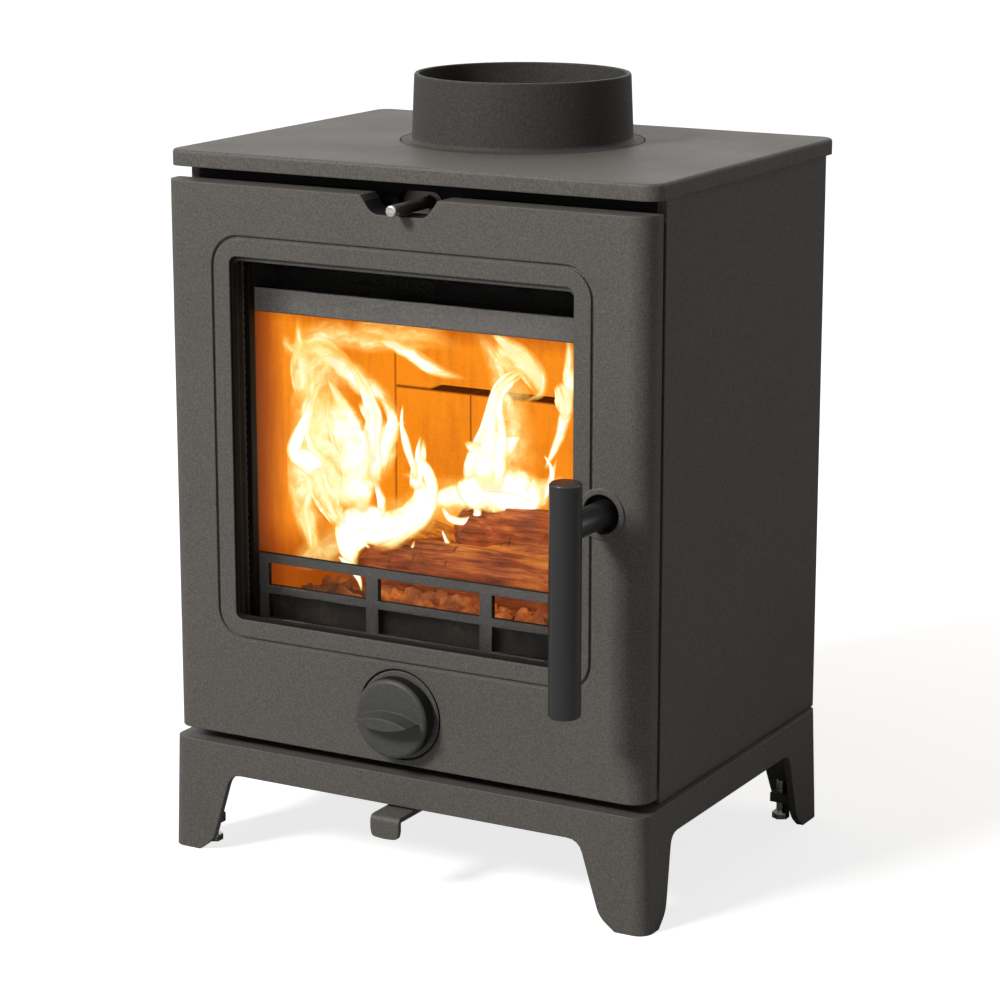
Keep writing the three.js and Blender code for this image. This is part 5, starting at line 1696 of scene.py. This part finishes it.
@dataclass
class Fire:
    """Burning logs, an ember bed and ribbons of flame on the grate.

    A log's skin is moved by knots and, along its length, by finer furrows. Tongues at least as hot
    as crossed_from get a second strip, turned to depth_way, so that they show from the side.
    """

    logs: tuple[tuple[str, float], ...] = (
        ("log_front", 0.62),
        ("log_back", 0.75),
        ("log_top", 0.85),
    )
    log_cuts: int = 4
    log_round: float = 0.6
    furrow_pitch: Vector = field(default_factory=lambda: Vector((26.0, 130.0, 130.0)))
    furrow_height: float = 0.55 * MM
    furrow_layers: tuple[float, float, int] = (0.8, 2.0, 4)
    knot_pitch: float = 48.0
    knot_height: float = 0.5 * MM
    bed_left: float = -0.112
    bed_right: float = 0.112
    bed_front: float = -0.044
    bed_back: float = 0.094
    bed_top: float = 151.2 * MM
    bed_fill: float = 5.4 * MM
    bed_squares: int = 24
    swell_pitch: float = 30.0
    swell_height: float = 6 * MM
    swell_dip: float = 2 * MM
    crossed_from: float = 0.55
    crossed_width: float = 0.7
    depth_way: Vector = field(default_factory=lambda: Vector((0.487, -0.873, 0.0)))

    def build(self) -> None:
        """Makes the logs, the ember bed and the flames."""
        for node, heat in self.logs:
            wood = BurningWood("wood_" + node, heat)
            piece = add_piece(node + "_burning", self.log_mesh(node), Body.STOVE, wood)
            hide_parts(node)
        self.ember_bed()
        add_piece("flames", self.ribbons(), Body.STOVE, FLAME)

    def log_mesh(self, node: str) -> bpy.types.Mesh:
        """The CAD log with rounded sides and a rough, checked skin.

        Args:
            node: The CAD log.

        Returns:
            The finer mesh.
        """
        mesh = frame["nodes"][node].data.copy()
        work = merged(mesh, 0.01 * MM, 1.0)
        bmesh.ops.triangulate(work, faces=work.faces)
        for _ in range(self.log_cuts):
            bmesh.ops.subdivide_edges(
                work, edges=work.edges, cuts=1, smooth=self.log_round, use_grid_fill=True
            )
        work.normal_update()
        for vert in work.verts:
            spot = vert.co
            furrow = noise.fractal(spot * self.furrow_pitch, *self.furrow_layers)
            knot = noise.noise(spot * self.knot_pitch)
            rise = self.furrow_height * furrow + self.knot_height * knot - self.knot_height
            vert.co = spot + vert.normal * rise
        bmesh.ops.recalc_face_normals(work, faces=work.faces)
        for face in work.faces:
            face.smooth = True
        work.to_mesh(mesh)
        work.free()
        return mesh

    def ember_bed(self) -> None:
        """Scatters glowing coals over the grate with Geometry Nodes."""
        ground = self.ember_ground()
        carrier = in_scene("ember_carrier", ground)
        grow(carrier, "coals", ember_tree(), {"Material": SHOP.take(COAL)})
        add_piece("ember_bed", applied(carrier), Body.STOVE, COAL)

    def ember_ground(self) -> bpy.types.Mesh:
        """The sheet that the coals lie on, a level grid with low swells.

        Returns:
            The mesh.
        """
        steps, width = self.bed_squares, self.bed_squares + 1
        level = self.bed_top + self.bed_fill
        verts = []
        for row in range(width):
            for column in range(width):
                x = self.bed_left + (self.bed_right - self.bed_left) * column / steps
                y = self.bed_front + (self.bed_back - self.bed_front) * row / steps
                spot = Vector((x * self.swell_pitch, y * self.swell_pitch, 2.0))
                swell = self.swell_height * noise.noise(spot)
                verts.append((x, y, level + max(swell, -self.swell_dip)))
        faces = [
            (r * width + c, r * width + c + 1, (r + 1) * width + c + 1, (r + 1) * width + c)
            for r in range(steps)
            for c in range(steps)
        ]
        mesh = bpy.data.meshes.new("ember_ground")
        mesh.from_pydata(verts, [], faces)
        return mesh

    def ribbons(self) -> bpy.types.Mesh:
        """A bowed strip along each tongue's line, and a crossed one on the hot ones.

        Returns:
            The mesh of all the strips.
        """
        strips = RibbonMesh()
        for number, tongue in enumerate(TONGUES):
            strips.lay(tongue, number, None, 1.0)
            if tongue.heat >= self.crossed_from:
                strips.lay(tongue, number, self.depth_way, self.crossed_width)
        return strips.finish("flames")


def ember_tree(
    dent_pitch: float = 260.0,
    dent_depth: float = 0.007,
    least: Triple = (0.5, 0.5, 0.4),
    most: Triple = (1.35, 1.35, 1.1),
    turn: Triple = (0.9, 0.9, 6.28),
) -> bpy.types.NodeTree:
    """Lumps of coal scattered over a mesh.

    Args:
        dent_pitch: How close together a lump's dents are.
        dent_depth: How far a dent moves the skin.
        least: The least stretch of a lump along its axes.
        most: The most stretch of a lump along its axes.
        turn: The most that a lump is turned about its axes.

    Returns:
        The tree: it dents one lump and lays turned and stretched copies of it.
    """
    tree, start, end = geometry_tree(
        "ember_bed",
        [
            ("Density", "NodeSocketFloat", 9000.0),
            ("Lump Size", "NodeSocketFloat", 0.006),
            ("Seed", "NodeSocketInt", 5),
            ("Material", "NodeSocketMaterial", None),
        ],
    )
    spots = tree.feed(
        tree.add("GeometryNodeDistributePointsOnFaces", distribute_method="RANDOM"),
        Mesh=start.outputs["Geometry"],
        Density=start.outputs["Density"],
        Seed=start.outputs["Seed"],
    )
    lump = tree.feed(
        tree.add("GeometryNodeMeshIcoSphere"), Radius=start.outputs["Lump Size"], Subdivisions=2
    )
    dent = tree.feed(tree.add("ShaderNodeTexNoise"), Scale=dent_pitch)
    push = tree.vector("SUBTRACT", dent.outputs["Color"], (0.5, 0.5, 0.5))
    rough = tree.feed(
        tree.add("GeometryNodeSetPosition"),
        Geometry=lump.outputs["Mesh"],
        Offset=tree.vector("SCALE", push, dent_depth),
    )
    size = tree.feed(
        tree.add("FunctionNodeRandomValue", data_type="FLOAT_VECTOR"), Min=least, Max=most
    )
    spin = tree.feed(
        tree.add("FunctionNodeRandomValue", data_type="FLOAT_VECTOR"), Max=turn, Seed=9
    )
    laid = tree.feed(
        tree.add("GeometryNodeInstanceOnPoints"),
        Points=spots.outputs["Points"],
        Instance=rough.outputs["Geometry"],
        Rotation=spin.outputs["Value"],
        Scale=size.outputs["Value"],
    )
    return end_tree(tree, start, end, laid.outputs["Instances"])


@dataclass
class RibbonMesh:
    """Gathers strips into one mesh with their map and their attributes."""

    columns: int = 10
    steps_between: int = 9
    look_ahead: float = 0.05
    bow: float = -0.45
    filament: float = 20 * MM
    filament_start: float = 3.7
    verts: list[Vector] = field(default_factory=list)
    faces: list[tuple[int, int, int, int]] = field(default_factory=list)
    flow: list[tuple[float, float]] = field(default_factory=list)
    values: dict[str, list[float]] = field(
        default_factory=lambda: {name: [] for name in FLAME_VALUES}
    )

    def lay(self, tongue: Tongue, number: int, way: Vector | None, scale: float) -> None:
        """Lays one strip along a tongue's line.

        Args:
            tongue: The tongue.
            number: Its place in the list, which sets where its filaments start.
            way: The direction that the strip's width leans to; None bows it towards the door.
            scale: A factor on its width.
        """
        steps = (len(tongue.path) - 1) * self.steps_between
        root = len(self.verts)
        length = number * self.filament_start
        before = tongue.at(0.0)[0]
        for row in range(steps + 1):
            step = row / self.steps_between
            place, half = tongue.at(step)
            half *= scale
            ahead = tongue.at(min(step + self.look_ahead, len(tongue.path) - 1))[0]
            behind = tongue.at(max(step - self.look_ahead, 0.0))[0]
            run = (ahead - behind).normalized()
            side = run.cross(Vector((0.0, 1.0, 0.0))) if way is None else way - run * way.dot(run)
            side.normalize()
            length += (place - before).length / self.filament
            before = place
            for column in range(self.columns + 1):
                across = 2 * column / self.columns - 1
                bow = self.bow * half * (1 - across * across) if way is None else 0.0
                self.verts.append(place + side * (across * half) + Vector((0.0, bow, 0.0)))
                self.flow.append((column / self.columns, length))
                for name, value in zip(FLAME_VALUES, (tongue.heat, tongue.rim, row / steps)):
                    self.values[name].append(value)
        width = self.columns + 1
        for row in range(steps):
            for column in range(self.columns):
                corner = root + row * width + column
                self.faces.append((corner, corner + 1, corner + width + 1, corner + width))

    def finish(self, name: str) -> bpy.types.Mesh:
        """The mesh of all the strips.

        Args:
            name: The mesh's name.

        Returns:
            The mesh.
        """
        mesh = bpy.data.meshes.new(name)
        mesh.from_pydata(self.verts, [], self.faces)
        layer = mesh.uv_layers.new(name="flow")
        for loop in mesh.loops:
            layer.data[loop.index].uv = self.flow[loop.vertex_index]
        for label, numbers in self.values.items():
            mesh.attributes.new(label, "FLOAT", "POINT").data.foreach_set("value", numbers)
        mesh.polygons.foreach_set("use_smooth", [True] * len(mesh.polygons))
        return mesh


# ------------------------------------------------------------------ studio


@dataclass(frozen=True)
class Lamp:
    """A soft square lamp aimed at a point: its place and target, width, power in watts and tint."""

    name: str
    place: Triple
    target: Triple
    size: float
    power: float
    tint: Colour

    def build(self) -> None:
        """Hangs the lamp and aims it."""
        data = bpy.data.lights.new(self.name, "AREA")
        data.size = self.size
        data.energy = self.power
        data.color = self.tint
        lamp = in_scene(self.name, data)
        lamp.location = self.place
        aim = Vector(self.target) - Vector(self.place)
        lamp.rotation_euler = aim.to_track_quat("-Z", "Y").to_euler()


@dataclass
class Studio:
    """The pale floor, the soft lamps and the camera."""

    camera_place: Vector = field(default_factory=lambda: Vector((0.9353, -1.65305, 0.6820)))
    camera_pitch: float = -13.56
    camera_yaw: float = 29.18
    lens: float = 112.28
    sensor: float = 36.0
    floor_half: float = 14.0
    floor_lift: float = 0.8
    floor_fade: tuple[float, float] = (0.3, 1.1)
    floor_tones: tuple[Colour, Colour] = ((0.60, 0.60, 0.59), (0.63, 0.63, 0.625))
    world_level: float = 0.06
    lamps: tuple[Lamp, ...] = (
        Lamp("key_lamp", (-1.2, -2.75, 2.35), (0.0, -0.1, 0.25), 0.85, 110.0, (1.0, 0.99, 0.98)),
        Lamp("top_lamp", (-0.5, 0.6, 2.6), (0.0, 0.0, 0.4), 1.6, 10.0, (1.0, 0.88, 0.78)),
    )

    def build(self) -> None:
        """Sets up everything around the stove."""
        self.floor()
        self.world()
        for lamp in self.lamps:
            lamp.build()
        self.camera()
        bpy.context.scene.view_settings.view_transform = "Standard"

    def floor(self) -> None:
        """A wide floor that looks white to the camera and keeps the stove's shadow."""
        half = self.floor_half
        corners = [(-half, -half, 0), (half, -half, 0), (half, half, 0), (-half, half, 0)]
        mesh = bpy.data.meshes.new("floor")
        mesh.from_pydata(corners, [], [(0, 1, 2, 3)])
        floor = in_scene("floor", mesh)
        material, tree, shader = new_material("pale_floor")
        away = tree.add("ShaderNodeVectorMath", operation="LENGTH")
        tree.put(away.inputs[0], tree.place())
        lift = tree.span(away.outputs["Value"], *self.floor_fade, self.floor_lift, 1.0)
        tree.feed(
            shader,
            Base_Color=tree.mix(tree.cloud(tree.place(), 3.0, 2.0), *self.floor_tones),
            Roughness=0.9,
            Specular_IOR_Level=0.0,
            Emission_Color=WHITE,
            Emission_Strength=tree.math("MULTIPLY", tree.seen(), lift),
        )
        mesh.materials.append(material)

    def world(self) -> None:
        """White to the camera and in reflections, and a level fill light otherwise."""
        world = bpy.data.worlds.new("studio")
        bpy.context.scene.world = world
        world.use_nodes = True
        tree = Tree(world.node_tree)
        path = tree.add("ShaderNodeLightPath").outputs
        seen = tree.math("MAXIMUM", path["Is Camera Ray"], path["Is Transmission Ray"])
        seen = tree.math("MAXIMUM", seen, path["Is Glossy Ray"])
        strength = tree.span(seen, 0.0, 1.0, self.world_level, 1.0)
        tree.feed(world.node_tree.nodes["Background"], Color=WHITE, Strength=strength)

    def camera(self) -> None:
        """The camera at the photograph's viewing angle."""
        data = bpy.data.cameras.new("camera")
        data.lens = self.lens
        data.sensor_width = self.sensor
        data.sensor_fit = "HORIZONTAL"
        camera = in_scene("camera", data)
        camera.location = self.camera_place
        turn = (math.radians(90 + self.camera_pitch), 0.0, math.radians(self.camera_yaw))
        camera.rotation_euler = Euler(turn, "XYZ")
        bpy.context.scene.camera = camera


def main() -> None:
    """Builds the stove's looks, the fire and the studio in order."""
    logging.basicConfig(level=logging.INFO, format="%(message)s")
    Studio().build()
    Castings().build()
    DoorSeal().build()
    Fire().build()


if __name__ == "__main__":
    main()
